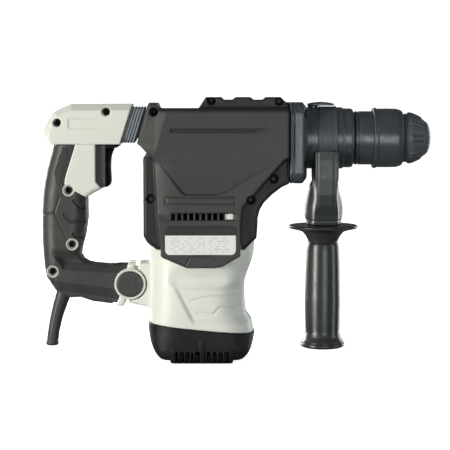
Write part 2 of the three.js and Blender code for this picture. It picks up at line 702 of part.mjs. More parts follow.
function fieldCoil(side) {
  const outer = roundedBox([0, 74], 24, 33.5, 8, 2);
  const inner = roundedBox([0, 74], 17.5, 26.6, 0.8, 1);
  const [from, to] = side < 0 ? [-29.5, -18.5] : [18.5, 29.5];
  const ring = cut(extrude(outer, "y", from, to), [extrude(inner, "y", from - 1, to + 1)]);
  const room = post(STATOR.bore + 0.6, 30, 120, 32);
  const yoke = cut(post(60, 30, 120, 32), [post(STATOR.bore + 5.7, 20, 130, 40)]);
  return cut(ring, [room, yoke]);
}

const bearing = (inner, outer, low, high) => tube("z", inner, outer, low, high, 20);

const BRUSH = { low: 28.3, high: 36.7 };

const brushHolder = (side) => {
  const y = side < 0 ? [-33, -14] : [14, 33];
  return cut(block([-5.5, 5.5], y, [BRUSH.low - 2.3, BRUSH.high + 2.3]), [
    block([-3.3, 3.3], [-40, 40], [BRUSH.low - GAP, BRUSH.high + GAP]),
  ]);
};

const carbonBrush = (side) => block([-3, 3], side < 0 ? [-26, -13.3] : [13.3, 26], [BRUSH.low, BRUSH.high]);

// ---- Rear handle ----
const ARM_OUTLINE = [
  [-157, 228], [-153, 237], [-146, 247], [-129, 254.5], [-68, 255], [-80.5, 215], [-148, 215],
];
const GRIP_REAR = [
  [-147.3, 214.6], [-151, 201], [-156, 178], [-159.3, 150], [-159.3, 119], [-157, 92], [-152.5, 78],
];
const LOWER_ARM_BOTTOM = [[-146.5, 67.5], [-131, 62], [-121, 62.5], [-109, 58.5], [-83, 55]];
const GRIP_FRONT = [
  [-113.5, 163], [-113, 143], [-115.5, 126], [-119, 113], [-120, 106], [-116, 99.5], [-107, 96.5],
];
const GRIP_OUTLINE = [
  ...smooth(GRIP_REAR, 7), ...LOWER_ARM_BOTTOM, [-66, 54.6], [-66, 97.5], [-82, 97.5], [-92, 95],
  ...smooth(GRIP_FRONT, 6).reverse(), [-106, 167.5], [-98.5, 171.2], [-98.5, 214.6],
];
const PANEL_OUTLINE = [
  [-123.5, 216], [-135, 181], [-135.5, 176], [-133, 172.5], [-127, 169.5], [-114, 162.6],
  [-106, 167.5], [-98.5, 171.2], [-104.7, 178], [-104.7, 216],
];
const PIVOT_TABS = [[-84.5, 54.6], [-77.5, 54.6], [-66, 97.5], [-73, 97.5]];
// Everything beyond the tabs' rear edge.
const PAST_TABS = [[-88.8, 40], [-40, 40], [-40, 110], [-70.1, 110]];
const TRIGGER = { rear: -109, front: -90, half: 12, travel: 6 };
const TRIGGER_OUTLINE = [
  [TRIGGER.rear, 214.2], [-80.5, 214.2], [-86, 210.5], [TRIGGER.front, 203.5], [TRIGGER.front, 177],
  [-93, 173], [-99, 172.2], [-104.5, 174.2], [TRIGGER.rear, 176],
];

function sleeveRings(extra) {
  const heights = [
    { at: 74, x: -136, radius: 8.4 }, { at: 66, x: -138.6, radius: 8.2 },
    { at: 56, x: -142, radius: 7.6 }, { at: 41, x: -146.4, radius: 6.6 },
    { at: 26, x: -149.4, radius: 6.1 }, { at: 16, x: -150.6, radius: 6.2 },
    { at: 13, x: -150.8, radius: 5.4 },
  ];
  return heights.map(({ at, x, radius }) => ({ at, outline: circle([x, 0], radius + extra, 12) }));
}

const strainRelief = () => {
  const bore = sleeveRings(-2.2);
  bore[0] = { at: 80, outline: bore[0].outline };
  bore[bore.length - 1] = { at: 8, outline: bore[bore.length - 2].outline };
  return cut(loft("z", sleeveRings(0)), [loft("z", bore)]);
};

function handleShellRight() {
  const arm = loft("y", [
    { at: -ARM.half, outline: inset(ARM_OUTLINE, 4) },
    { at: -ARM.half + 4.5, outline: ARM_OUTLINE },
    { at: -SEAM, outline: ARM_OUTLINE },
  ]);
  const core = extrude(inset(GRIP_OUTLINE, 4), "y", -ARM.core, -SEAM);
  const neck = extrude([[-145, 205], [-104, 205], [-104, 217], [-145, 217]], "y", -ARM.core, -SEAM);
  const panel = extrude(PANEL_OUTLINE, "y", -ARM.grip + 0.5, -SEAM);
  const bosses = BOSSES.map(({ x, z }) =>
    rod([x, z], BOSS.ring, "y", -ARM.grip - 0.2, -SEAM, 14),
  );
  const ring = rod([PIVOT.x, PIVOT.z], PIVOT.ring, "y", -18, -PIVOT.lug - GAP, 28);
  const tabs = extrude(PIVOT_TABS, "y", -16, -PIVOT.lug - GAP);
  const lugRoom = extrude([[-88, 45], [-40, 45], [-40, 110], [-88, 110]], "y", -PIVOT.lug - GAP, 1);
  const bay = extrude([[-144, 176], [-122, 176], [-122, 212], [-144, 212]], "y", -9.5, 1);
  const slotOutline = [[-123, 170], [-70, 170], [-70, 214.7], [-123, 214.7]];
  const triggerSlot = extrude(slotOutline, "y", -TRIGGER.half - 0.5, 1);
  const armHollow = extrude([[-138, 219], [-86, 219], [-76, 249], [-138, 247]], "y", -ARM.half + 4, 1);
  const body = cut(union([arm, core, neck, panel, ...bosses]), [lugRoom, bay, triggerSlot, armHollow]);
  return cut(union([body, ring, tabs]), [
    ...BOSSES.map(({ x, z }) => hole([x, z], BOSS.hole, "y", -30, 1, 8)),
    ...BOSSES.map(({ x, z }) =>
      hole([x, z], BOSS.head, "y", -30, -ARM.grip + BOSS.headDepth),
    ),
    hole([PIVOT.x, PIVOT.z], PIVOT.pin + 0.02, "y", -30, 1),
    loft("z", sleeveRings(GAP)),
  ]);
}

function gripOvermouldRight() {
  const skin = loft("y", [
    { at: -ARM.grip, outline: inset(GRIP_OUTLINE, 4.5) },
    { at: -ARM.grip + 5, outline: GRIP_OUTLINE },
    { at: -SEAM, outline: GRIP_OUTLINE },
  ]);
  const core = extrude(inset(GRIP_OUTLINE, 4 - GAP), "y", -ARM.core - GAP, 1);
  const panel = extrude(inset(PANEL_OUTLINE, -GAP), "y", -30, 1);
  const front = extrude([[-104.7, 160], [-60, 160], [-60, 230], [-104.7, 230]], "y", -30, 1);
  const bosses = BOSSES.map(({ x, z }) => hole([x, z], BOSS.ring + GAP, "y", -30, 1, 14));
  const pivot = hole([PIVOT.x, PIVOT.z], PIVOT.ring + GAP, "y", -30, 1, 28);
  const tabs = extrude(PAST_TABS, "y", -30, 1);
  const lugRoom = extrude([[-89, 45], [-40, 45], [-40, 110], [-89, 110]], "y", -PIVOT.lug - GAP, 1);
  const neck = extrude([[-145.3, 200], [-100, 200], [-100, 220], [-145.3, 220]], "y", -ARM.core - GAP, 1);
  return cut(skin, [
    core, neck, panel, front, pivot, tabs, lugRoom, ...bosses, loft("z", sleeveRings(GAP)),
  ]);
}

const trigger = () => extrude(TRIGGER_OUTLINE, "y", -TRIGGER.half, TRIGGER.half);

const switchBody = () => block([-143, -TRIGGER.travel - 116.5], [-9, 9], [178, 210]);

const pivotPin = () => rod([PIVOT.x, PIVOT.z], PIVOT.pin, "y", -17.5, 17.5);

function pivotCapRight() {
  return loft("y", [
    { at: -18 - GAP, outline: circle([PIVOT.x, PIVOT.z], PIVOT.cap, 24) },
    { at: -19.5, outline: circle([PIVOT.x, PIVOT.z], PIVOT.cap, 24) },
    { at: -20.5, outline: circle([PIVOT.x, PIVOT.z], PIVOT.cap - 1.5, 24) },
  ]);
}

// The bellows: a slanted tube between the handle's arm and the covers' neck.
function bellows() {
  const outline = (high, low) => roundedBox([0, (high + low) / 2], 17.5, (high - low) / 2, 6, 3);
  const room = (high, low) => roundedBox([0, (high + low) / 2], 14.5, (high - low) / 2 - 3, 4, 3);
  const lean = (shape) => {
    const shear = new THREE.Matrix4().set(1, 0, 0.315, 0, 0, 1, 0, 0, 0, 0, 1, 0, 0, 0, 0, 1);
    return solid(toGeometry(shape).applyMatrix4(shear).translate(-80.2 - 0.315 * 217, 0, 0));
  };
  const ribs = Array.from({ length: 9 }, (_, i) => ({
    at: 0.8 + i * 1.85, outline: i % 2 ? outline(251, 217) : outline(252.6, 215.6),
  }));
  const sleeve = cut(loft("x", ribs), [
    loft("x", [{ at: -5, outline: room(251, 217) }, { at: 25, outline: room(251, 217) }]),
  ]);
  return lean(sleeve);
}

// ---- Side handle, drawn about the tool's axis at x = SIDE_GRIP_X ----
const strapCentre = (STRAP.back + STRAP.front) / 2 - SIDE_GRIP_X;
const strapHalf = (STRAP.front - STRAP.back) / 2;

function clampStrap() {
  const band = tube("x", STRAP.inner, STRAP.outer, strapCentre - strapHalf, strapCentre + strapHalf, 48);
  const tang = block([strapCentre - 6, strapCentre + 6], [-3, 3], [-48, -31]);
  return cut(band.add(tang), [turned("x", [[-20, 0], [-20, STRAP.inner], [20, STRAP.inner], [20, 0]], 48)]);
}

function clampSaddle() {
  const arms = [
    [-36.5, -12], [-38, -26], [-37, -45], [-30, -67], [-22, -74], [-18, -80], [-18, -86],
    [18, -86], [18, -80], [22, -74], [30, -67], [37, -45], [38, -26], [36.5, -12],
  ];
  const side = [
    [-10.7, -8], [13.7, -8], [13.7, -38], [13.3, -47], [15.9, -61], [18.5, -73.5], [18, -87],
    [-17.5, -87], [-19, -74], [-16.5, -59], [-13.5, -47], [-10.7, -38],
  ];
  const body = extrude(arms, "x", -30, 30).intersect(extrude(side, "y", -50, 50));
  return cut(body, [
    hole([0, 0], STRAP.outer + GAP, "x", -40, 40, 48),
    block([strapCentre - 6.5, strapCentre + 6.5], [-3.5, 3.5], [-49, -25]),
    hole([0, 0], 4.3, "z", -100, -40),
  ]);
}

const clampBolt = () => rod([0, 0], 4, "z", -108, -48.5);

const GRIP_PROFILE = [
  [-86.6, 4.5], [-86.6, 34.2], [-88.4, 35], [-90.2, 33.8], [-94, 20], [-103, 14.2],
  [-106, 16.3], [-133, 17.2], [-162, 17.9], [-195, 17], [-206, 22.5], [-210, 19], [-210, 0],
  [-112, 0], [-112, 4.5], [-86.6, 4.5],
];

const sideGrip = () => turned("z", GRIP_PROFILE);

// ---- Assembly ----
const hammer = new THREE.Group();
hammer.name = "rotary_hammer";

node(hammer, "gear_cover_right", coverRight(), "cover");
node(hammer, "gear_cover_left", mirrored(coverRight()), "cover");
node(hammer, "rating_plate", ratingPlate(), "plate");
node(hammer, "gear_case", gearCase(), "aluminium");
node(hammer, "motor_housing", motorHousing(), "white");
node(hammer, "motor_end_cap", motorEndCap(), "cap");

const barrel = groupAt(hammer, 0, 0, TOOL_Z);
node(barrel, "barrel_housing", barrelHousing(), "nose");
FLANGE_SCREWS.forEach((place, i) => node(barrel, `flange_screw_${i + 1}`, flangeScrew(place), "steel"));
node(barrel, "mode_lever", modeLever(), "nose");
node(barrel, "spindle", cut(spindle(), ballSlots()), "steel");
node(barrel, "bevel_ring_gear", bevelRingGear(), "steel");
node(barrel, "chuck_ring", chuckRing(), "nose");
node(barrel, "lock_sleeve", lockSleeve(), "nose");
node(barrel, "sleeve_spring", coilSpring(18, 1.8, SPRING_END.back + 1, SPRING_END.front - 1, 5), "steel");
node(barrel, "lock_ball_top", lockBall(1), "steel");
node(barrel, "lock_ball_bottom", lockBall(-1), "steel");
node(barrel, "dust_cap", dustCap(), "rubber");
node(barrel, "piston", piston(), "aluminium");
node(barrel, "wrist_pin", wristPin(), "steel");
node(barrel, "con_rod", conRod(), "aluminium");
node(barrel, "striker", striker(), "steel");
node(barrel, "impact_bolt", impactBolt(), "steel");
node(barrel, "spindle_bearing", tube("x", 14.2, 23.7, 106, 118, 32), "steel");

const crank = groupAt(hammer, CRANK_X, 0, 0);
node(crank, "crank_gear", crankGear(), "steel");
node(crank, "crank_bearing", bearing(7.6, 15, 189.5, 198.5), "steel");

const middle = groupAt(hammer, MIDDLE_X, 0, 0);
node(middle, "intermediate_gear", intermediateGear(), "steel");
node(middle, "intermediate_bearing", bearing(4.6, 8, 160.5, 166), "steel");

node(hammer, "armature_shaft", armatureShaft(), "steel");
node(hammer, "armature_core", armatureCore(), "laminations");
node(hammer, "commutator", commutator(), "copper");
node(hammer, "fan", fan(), "cap");
node(hammer, "armature_bearing_top", bearing(4.2, 11, 160.5, 167), "steel");
node(hammer, "armature_bearing_bottom", bearing(4.2, 11, 10.5, 18), "steel");
node(hammer, "stator_core", statorCore(), "laminations");
for (const [side, label] of [[-1, "right"], [1, "left"]]) {
  node(hammer, `field_coil_${label}`, fieldCoil(side), "copper");
  node(hammer, `brush_holder_${label}`, brushHolder(side), "cap");
  node(hammer, `carbon_brush_${label}`, carbonBrush(side), "carbon");
}

node(hammer, "handle_shell_right", handleShellRight(), "white");
node(hammer, "handle_shell_left", mirrored(handleShellRight()), "white");
node(hammer, "grip_overmould_right", gripOvermouldRight(), "rubber");
node(hammer, "grip_overmould_left", mirrored(gripOvermouldRight()), "rubber");
node(hammer, "pivot_pin", pivotPin(), "steel");
node(hammer, "pivot_cap_right", pivotCapRight(), "rubber");
node(hammer, "pivot_cap_left", mirrored(pivotCapRight()), "rubber");
node(hammer, "trigger", trigger(), "cap");
node(hammer, "switch_body", switchBody(), "cap");
node(hammer, "strain_relief", strainRelief(), "rubber");
node(hammer, "bellows", bellows(), "rubber");

const sideHandle = groupAt(hammer, SIDE_GRIP_X, 0, TOOL_Z);
node(sideHandle, "clamp_strap", clampStrap(), "steel");
node(sideHandle, "clamp_saddle", clampSaddle(), "grip");
node(sideHandle, "clamp_bolt", clampBolt(), "steel");
node(sideHandle, "side_grip", sideGrip(), "grip");

export default hammer;
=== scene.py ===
import functools
import json
import math

import bpy
import numpy as np
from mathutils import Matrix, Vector


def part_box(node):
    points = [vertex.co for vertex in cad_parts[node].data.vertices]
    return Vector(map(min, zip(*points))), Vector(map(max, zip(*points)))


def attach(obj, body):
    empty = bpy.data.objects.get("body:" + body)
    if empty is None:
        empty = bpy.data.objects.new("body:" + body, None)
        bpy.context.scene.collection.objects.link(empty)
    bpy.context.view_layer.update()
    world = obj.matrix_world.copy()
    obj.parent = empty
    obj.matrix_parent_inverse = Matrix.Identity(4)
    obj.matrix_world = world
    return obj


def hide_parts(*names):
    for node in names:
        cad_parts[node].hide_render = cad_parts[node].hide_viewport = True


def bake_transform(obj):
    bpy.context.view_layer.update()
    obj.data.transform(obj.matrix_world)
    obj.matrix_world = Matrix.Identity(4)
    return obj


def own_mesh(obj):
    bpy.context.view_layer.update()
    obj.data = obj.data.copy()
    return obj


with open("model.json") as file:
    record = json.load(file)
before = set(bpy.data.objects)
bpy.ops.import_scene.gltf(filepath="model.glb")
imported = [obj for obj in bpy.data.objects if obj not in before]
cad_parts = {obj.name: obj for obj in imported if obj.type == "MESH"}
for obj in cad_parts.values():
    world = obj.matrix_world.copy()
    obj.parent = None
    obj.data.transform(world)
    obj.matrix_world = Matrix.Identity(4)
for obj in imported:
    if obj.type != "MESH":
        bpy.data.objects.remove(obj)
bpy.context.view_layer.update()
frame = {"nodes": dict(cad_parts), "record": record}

MM = 0.001
TOOL_Z = 221.0  # height of the chuck's axis
SEAM = 0.15  # each clamshell half stops this far from the middle plane
scene = bpy.context.scene


# ---- Measures from the frame ----
def box(node):
    """A CAD node's lowest and highest corners, in millimetres."""
    return [np.array(corner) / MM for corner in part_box(node)]


# ---- Fields: signed distances in millimetres, negative inside a shape ----
def ramp(value, low, high):
    """A smooth step from 0 at low to 1 at high."""
    t = np.clip((value - low) / (high - low), 0, 1)
    return t * t * (3 - 2 * t)


def join(a, b, soft):
    """Two shapes in one, with the corner between them filled."""
    h = np.clip(0.5 + 0.5 * (b - a) / soft, 0, 1)
    return b * (1 - h) + a * h - soft * h * (1 - h)


def meet(a, b, soft):
    """What two shapes share, with its edge worn round."""
    return -join(-a, -b, soft)


def overlap(*fields):
    """What all the shapes share."""
    return functools.reduce(np.maximum, fields)


def cut(body, *tools):
    """The body with the tools' shapes taken out of it."""
    return overlap(body, *[-tool for tool in tools])


def segments(points, closed):
    """The stretches between the points, as pairs of ends."""
    ends = list(points[1:]) + ([points[0]] if closed else [])
    return list(zip(points, ends))


def path_distance(points, u, v, closed=False):
    """How far each sample is from a line through the points."""
    best = np.full(np.broadcast(u, v).shape, 1e9)
    for (au, av), (bu, bv) in segments(points, closed):
        du, dv = bu - au, bv - av
        t = np.clip(((u - au) * du + (v - av) * dv) / (du * du + dv * dv + 1e-12), 0, 1)
        best = np.minimum(best, np.hypot(u - au - t * du, v - av - t * dv))
    return best


def outline_distance(points, u, v):
    """Signed distance from a closed outline, negative inside it."""
    inside = np.zeros(np.broadcast(u, v).shape, bool)
    for (au, av), (bu, bv) in segments(points, True):
        slope = (bu - au) / ((bv - av) or 1e-9)
        inside ^= ((av > v) != (bv > v)) & (u < au + (v - av) * slope)
    away = path_distance(points, u, v, closed=True)
    return np.where(inside, -away, away)


def corner_distance(a, b, radius):
    """A round corner between two flat sides, from the distances past each."""
    a, b = a + radius, b + radius
    return np.minimum(np.maximum(a, b), 0) + np.hypot(np.maximum(a, 0), np.maximum(b, 0)) - radius


def slab(edge, depth, height, rim):
    """An outline extruded to a height, with its rim rounded."""
    return corner_distance(edge, depth - height, rim)


def brick(u, v, middle, half, radius):
    """Signed distance from a rectangle with round corners."""
    return corner_distance(abs(u - middle[0]) - half[0], abs(v - middle[1]) - half[1], radius)


def line_side(u, v, start, end):
    """How far a sample lies to the left of the line from start to end."""
    du, dv = end[0] - start[0], end[1] - start[1]
    return (du * (v - start[1]) - dv * (u - start[0])) / math.hypot(du, dv)


def groove(distance, width):
    """1 in the middle of a groove and 0 outside it."""
    return 1 - ramp(distance, width * 0.2, width * 0.75)


# ---- Meshes ----
def carve(shape, low, high, step):
    """The skin of a field, as vertices and quads in millimetres, by surface nets."""
    axes = [np.arange(a - 2 * step, b + 3 * step, step) for a, b in zip(low, high)]
    size = tuple(len(a) for a in axes)
    x, y, z = axes[0][:, None, None], axes[1][None, :, None], axes[2][None, None, :]
    value = np.broadcast_to(shape(x, y, z), size)
    points, cells, quads, flips = [], [], [], []
    for axis in range(3):
        one = np.take(value, range(size[axis] - 1), axis)
        two = np.take(value, range(1, size[axis]), axis)
        at = np.argwhere((one < 0) != (two < 0))
        a, b = one[tuple(at.T)], two[tuple(at.T)]
        place = np.stack([axes[i][at[:, i]] for i in range(3)], 1)
        place[:, axis] += step * a / (a - b)
        sides = [i for i in range(3) if i != axis]
        corners = []
        for du, dv in ((0, 0), (1, 0), (1, 1), (0, 1)):
            cell = at.copy()
            cell[:, sides[0]] -= du
            cell[:, sides[1]] -= dv
            number = (cell[:, 0] * size[1] + cell[:, 1]) * size[2] + cell[:, 2]
            points.append(place)
            cells.append(number)
            corners.append(number)
        quads.append(np.stack(corners, 1))
        flips.append((a < 0) != (axis == 1))
    used, index = np.unique(np.concatenate(cells), return_inverse=True)
    places = np.concatenate(points)
    count = np.bincount(index)
    vertices = np.stack([np.bincount(index, places[:, i]) / count for i in range(3)], 1)
    faces = np.searchsorted(used, np.concatenate(quads))
    turned = np.concatenate(flips)
    faces[~turned] = faces[~turned][:, ::-1]
    return vertices, faces


def meshed(name, vertices, faces, material):
    """A smooth mesh object from vertices in metres."""
    mesh = bpy.data.meshes.new(name)
    mesh.from_pydata(vertices, [], [list(map(int, face)) for face in faces])
    mesh.materials.append(material)
    mesh.polygons.foreach_set("use_smooth", [True] * len(mesh.polygons))
    mesh.update()
    made = bpy.data.objects.new(name, mesh)
    scene.collection.objects.link(made)
    return made


def piece(name, vertices, faces, paint, body, node=None, slot=None):
    """A finished piece from vertices in millimetres, which can replace a CAD node.

    The slot argument is not used. With no body, it is left unattached.
    """
    made = meshed(name, np.asarray(vertices) * MM, faces, PAINTS[paint])
    if body:
        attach(made, body)
    if node:
        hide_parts(node)
    return made


def carved(name, node, shape, step, paint, body, slot=None):
    """A piece carved inside the box of the CAD node that it replaces."""
    return piece(name, *carve(shape, *box(node), step), paint, body, node, slot)


def flipped(vertices, faces, axis):
    """The mesh's mirror image across the middle plane of an axis."""
    moved = np.array(vertices)
    moved[:, axis] *= -1
    return moved, [face[::-1] for face in np.asarray(faces)]


def both_halves(stem, vertices, faces, paint, body):
    """A clamshell's left half and its mirror image at -Y, from a mesh with y as the distance d."""
    right = flipped(vertices, faces, 1)
    piece(f"{stem}_right_skin", *right, paint, body, f"{stem}_right")
    piece(f"{stem}_left_skin", vertices, faces, paint, body, f"{stem}_left")


def rounded(profile, radius, steps=4):
    """The profile with each inner corner turned into a curve of about that size."""
    points = [np.array(p, float) for p in profile]
    out = [points[0]]
    for before, corner, after in zip(points, points[1:], points[2:]):
        reach = min(radius, np.linalg.norm(before - corner) / 2, np.linalg.norm(after - corner) / 2)
        start = corner + (before - corner) / (np.linalg.norm(before - corner) + 1e-9) * reach
        end = corner + (after - corner) / (np.linalg.norm(after - corner) + 1e-9) * reach
        for i in range(steps + 1):
            t = i / steps
            out.append(start * (1 - t) ** 2 + 2 * corner * t * (1 - t) + end * t * t)
    out.append(points[-1])
    return out


def divided(profile, longest):
    """The profile with its long stretches cut into shorter ones."""
    out = [profile[0]]
    for a, b in zip(profile, profile[1:]):
        count = max(1, math.ceil(np.linalg.norm(np.subtract(b, a)) / longest))
        out += [np.array(a) + (np.array(b) - np.array(a)) * i / count for i in range(1, count + 1)]
    return out


def tube_faces(rings, sides, closed=True):
    """Quads between rings of points. A closed tube also joins its last ring to its first."""
    faces = []
    for k in range(rings if closed else rings - 1):
        m = (k + 1) % rings
        for i in range(sides):
            j = (i + 1) % sides
            faces.append([k * sides + i, k * sides + j, m * sides + j, m * sides + i])
    return faces


def spin(profile, axis, centre, sides, raised=None):
    """A closed profile of (place along the axis, radius) turned about an axis through centre."""
    ring = np.array(profile)
    if np.allclose(ring[0], ring[-1]):
        ring = ring[:-1]
    angle = np.linspace(0, 2 * math.pi, sides, endpoint=False)
    along = np.repeat(ring[:, 0], sides).reshape(len(ring), sides)
    radius = np.repeat(ring[:, 1], sides).reshape(len(ring), sides)
    turn = np.broadcast_to(angle, along.shape)
    if raised is not None:
        radius = radius + raised(along, radius, turn)
    across = [radius * np.cos(turn), radius * np.sin(turn)]
    order = {0: [along, *across], 2: [across[0], across[1], along]}[axis]
    vertices = np.stack([part.ravel() for part in order], 1) + np.array(centre)
    faces = tube_faces(len(ring), sides)
    u, v = ring.T
    signed = np.dot(u, np.roll(v, -1)) - np.dot(v, np.roll(u, -1))
    return vertices, faces if signed > 0 else [face[::-1] for face in faces]


def facing_side(vertices, x, z):
    """A shape that was turned about X, moved to face along Y with its axis at x and z."""
    return np.stack([vertices[:, 1] + x, vertices[:, 0], vertices[:, 2] + z], 1)


# ---- Materials ----
def rgb(code):
    """A colour from its six hex digits, as the linear values that shaders take."""
    parts = [int(code[i : i + 2], 16) / 255 for i in (0, 2, 4)]
    return [c / 12.92 if c < 0.04045 else ((c + 0.055) / 1.055) ** 2.4 for c in parts] + [1.0]


def tinted(colour, factor, lift=0.0):
    """The colour made darker or lighter."""
    return [min(1, c * factor + lift) for c in colour[:3]] + [1.0]


class Paint:
    """A node material in the making. Textures use object coordinates, in metres."""

    def __init__(self, name):
        self.material = bpy.data.materials.new(name)
        self.material.use_nodes = True
        self.tree = self.material.node_tree
        self.shader = self.tree.nodes["Principled BSDF"]
        self.place = self.add("ShaderNodeTexCoord").outputs["Object"]

    def feed(self, socket, value):
        if isinstance(value, bpy.types.NodeSocket):
            self.tree.links.new(value, socket)
        else:
            socket.default_value = value

    def add(self, kind, inputs=None, **settings):
        node = self.tree.nodes.new(kind)
        for key, value in settings.items():
            setattr(node, key, value)
        for key, value in (inputs or {}).items():
            self.feed(node.inputs[key], value)
        return node

    def noise(self, size, detail=3.0, stretch=None):
        """Noise with features of about size millimetres."""
        place = self.place
        if stretch:
            place = self.add("ShaderNodeMapping", {"Vector": place, "Scale": stretch}).outputs["Vector"]
        inputs = {"Vector": place, "Scale": 1 / (size * MM), "Detail": detail}
        return self.add("ShaderNodeTexNoise", inputs).outputs["Fac"]

    def spread(self, value, low, high, to_low, to_high):
        inputs = {
            "Value": value, "From Min": low, "From Max": high, "To Min": to_low, "To Max": to_high,
        }
        return self.add("ShaderNodeMapRange", inputs).outputs["Result"]

    def cloud(self, size, detail, low, high):
        """Noise with features of about size millimetres, over a range of values."""
        return self.spread(self.noise(size, detail), 0.3, 0.7, low, high)

    def math(self, operation, one, two=0.0):
        node = self.add("ShaderNodeMath", operation=operation)
        self.feed(node.inputs[0], one)
        self.feed(node.inputs[1], two)
        return node.outputs["Value"]

    def mix(self, share, one, two):
        node = self.add("ShaderNodeMix", data_type="RGBA")
        self.feed(node.inputs["Factor"], share)
        self.feed(node.inputs["A"], one)
        self.feed(node.inputs["B"], two)
        return node.outputs[2]

    def edges(self, colour, worn, amount):
        """The colour, a little worn along the outer edges."""
        sharp = self.add("ShaderNodeNewGeometry").outputs["Pointiness"]
        share = self.spread(sharp, 0.515, 0.58, 0.0, amount)
        patchy = self.math("MULTIPLY", share, self.spread(self.noise(4), 0.35, 0.65, 0.3, 1.0))
        return self.mix(patchy, colour, worn)

    def shade_creases(self, colour, depth):
        """The colour, with painted shade darkening it in narrow grooves."""
        sharp = self.add("ShaderNodeNewGeometry").outputs["Pointiness"]
        dark = self.mix(depth, colour, (0.0, 0.0, 0.0, 1.0))
        return self.mix(self.spread(sharp, 0.485, 0.42, 0.0, 1.0), colour, dark)

    def bump(self, height, depth):
        """Bump of about depth millimetres."""
        inputs = {"Height": height, "Distance": depth * MM}
        normal = self.add("ShaderNodeBump", inputs).outputs["Normal"]
        self.feed(self.shader.inputs["Normal"], normal)

    def finish(self, colour, roughness, **constants):
        self.feed(self.shader.inputs["Base Color"], colour)
        self.feed(self.shader.inputs["Roughness"], roughness)
        for key, value in constants.items():
            self.shader.inputs[key.replace("_", " ")].default_value = value
        return self.material


def moulded(name, code, roughness, grain=0.5, depth=0.04, vary=0.06, wear=0.12, crease_shade=0.4, shine=0.5):
    """Moulded plastic: a spark-eroded grain, faint flow marks, slightly rubbed edges and painted shade in
    narrow grooves.
    """
    paint = Paint(name)
    base = rgb(code)
    flow = paint.mix(paint.cloud(35, 4, 0.0, 1.0), tinted(base, 1 - vary), tinted(base, 1 + vary))
    colour = paint.shade_creases(paint.edges(flow, tinted(base, 1.5, 0.02), wear), crease_shade)
    rough = paint.cloud(9, 4, roughness - 0.05, roughness + 0.05)
    paint.bump(paint.noise(grain, 2), depth)
    return paint.finish(colour, rough, Specular_IOR_Level=shine)


def rubber(name, code, roughness):
    """Soft overmould: a matte skin with a fine leathery grain, and painted shade in narrow grooves."""
    paint = Paint(name)
    base = rgb(code)
    cells = paint.add("ShaderNodeTexVoronoi", {"Vector": paint.place, "Scale": 1 / (0.9 * MM)})
    grain = paint.math("ADD", cells.outputs["Distance"], paint.noise(0.35, 2))
    dust = paint.spread(paint.noise(14, 5), 0.35, 0.75, 0.0, 1.0)
    dusty = paint.mix(dust, base, tinted(base, 1.25))
    colour = paint.shade_creases(paint.edges(dusty, tinted(base, 1.6), 0.15), 0.75)
    rough = paint.cloud(6, 4, roughness - 0.07, roughness + 0.07)
    paint.bump(grain, 0.05)
    return paint.finish(colour, rough, Specular_IOR_Level=0.32)


def coated_metal(name, code, roughness):
    """A baked coat over cast and turned metal: faint orange peel and bright rubbed edges."""
    paint = Paint(name)
    base = rgb(code)
    shade = paint.mix(paint.cloud(22, 4, 0.0, 1.0), tinted(base, 0.9), tinted(base, 1.1))
    colour = paint.edges(shade, tinted(base, 2.2, 0.01), 0.25)
    rough = paint.cloud(5, 4, roughness - 0.06, roughness + 0.06)
    paint.bump(paint.noise(1.1, 3), 0.04)
    return paint.finish(colour, rough, Metallic=0.25)


def bare_metal(name, code, roughness, stretch=(1, 1, 12), metallic=1.0):
    """Ground or cast metal: fine lines along one way and a mottled shine."""
    paint = Paint(name)
    base = rgb(code)
    colour = paint.mix(paint.cloud(8, 5, 0.0, 1.0), tinted(base, 0.82), base)
    lines = paint.noise(0.5, 3, stretch)
    rough = paint.spread(lines, 0.3, 0.7, roughness - 0.08, roughness + 0.1)
    paint.bump(lines, 0.02)
    return paint.finish(colour, rough, Metallic=metallic)


def cover_paint():
    """The covers' plastic: grained all over, with painted shade darkening the skirt, the rail and the
    narrow grooves.
    """
    paint = Paint("cover_plastic")
    base = rgb("434442")
    split = paint.add("ShaderNodeSeparateXYZ", {"Vector": paint.place})
    aside = paint.math("ABSOLUTE", split.outputs["Y"])
    on_side = paint.spread(aside, 36.6 * MM, 37.6 * MM, 0.0, 1.0)
    behind = paint.spread(split.outputs["X"], -39 * MM, -41 * MM, 0.0, 1.0)
    raised = paint.spread(split.outputs["Z"], 203 * MM, 205 * MM, 0.0, 1.0)
    free_of_painted_shade = paint.math("MAXIMUM", on_side, paint.math("MULTIPLY", behind, raised))
    flow = paint.mix(paint.cloud(35, 4, 0.0, 0.12), base, tinted(base, 1.6))
    # Painted shade: off the raised face, the skirt and the rail are painted at 0.4 of the base colour.
    colour = paint.mix(free_of_painted_shade, tinted(base, 0.4), paint.edges(flow, tinted(base, 1.7), 0.2))
    rough = paint.cloud(9, 4, 0.42, 0.52)
    paint.bump(paint.noise(0.5, 2), 0.05)
    return paint.finish(paint.shade_creases(colour, 0.6), rough, Specular_IOR_Level=0.3)


TRIGGER_BEVEL = {"slope": 0.66, "from": 4.6, "front": -90.0}


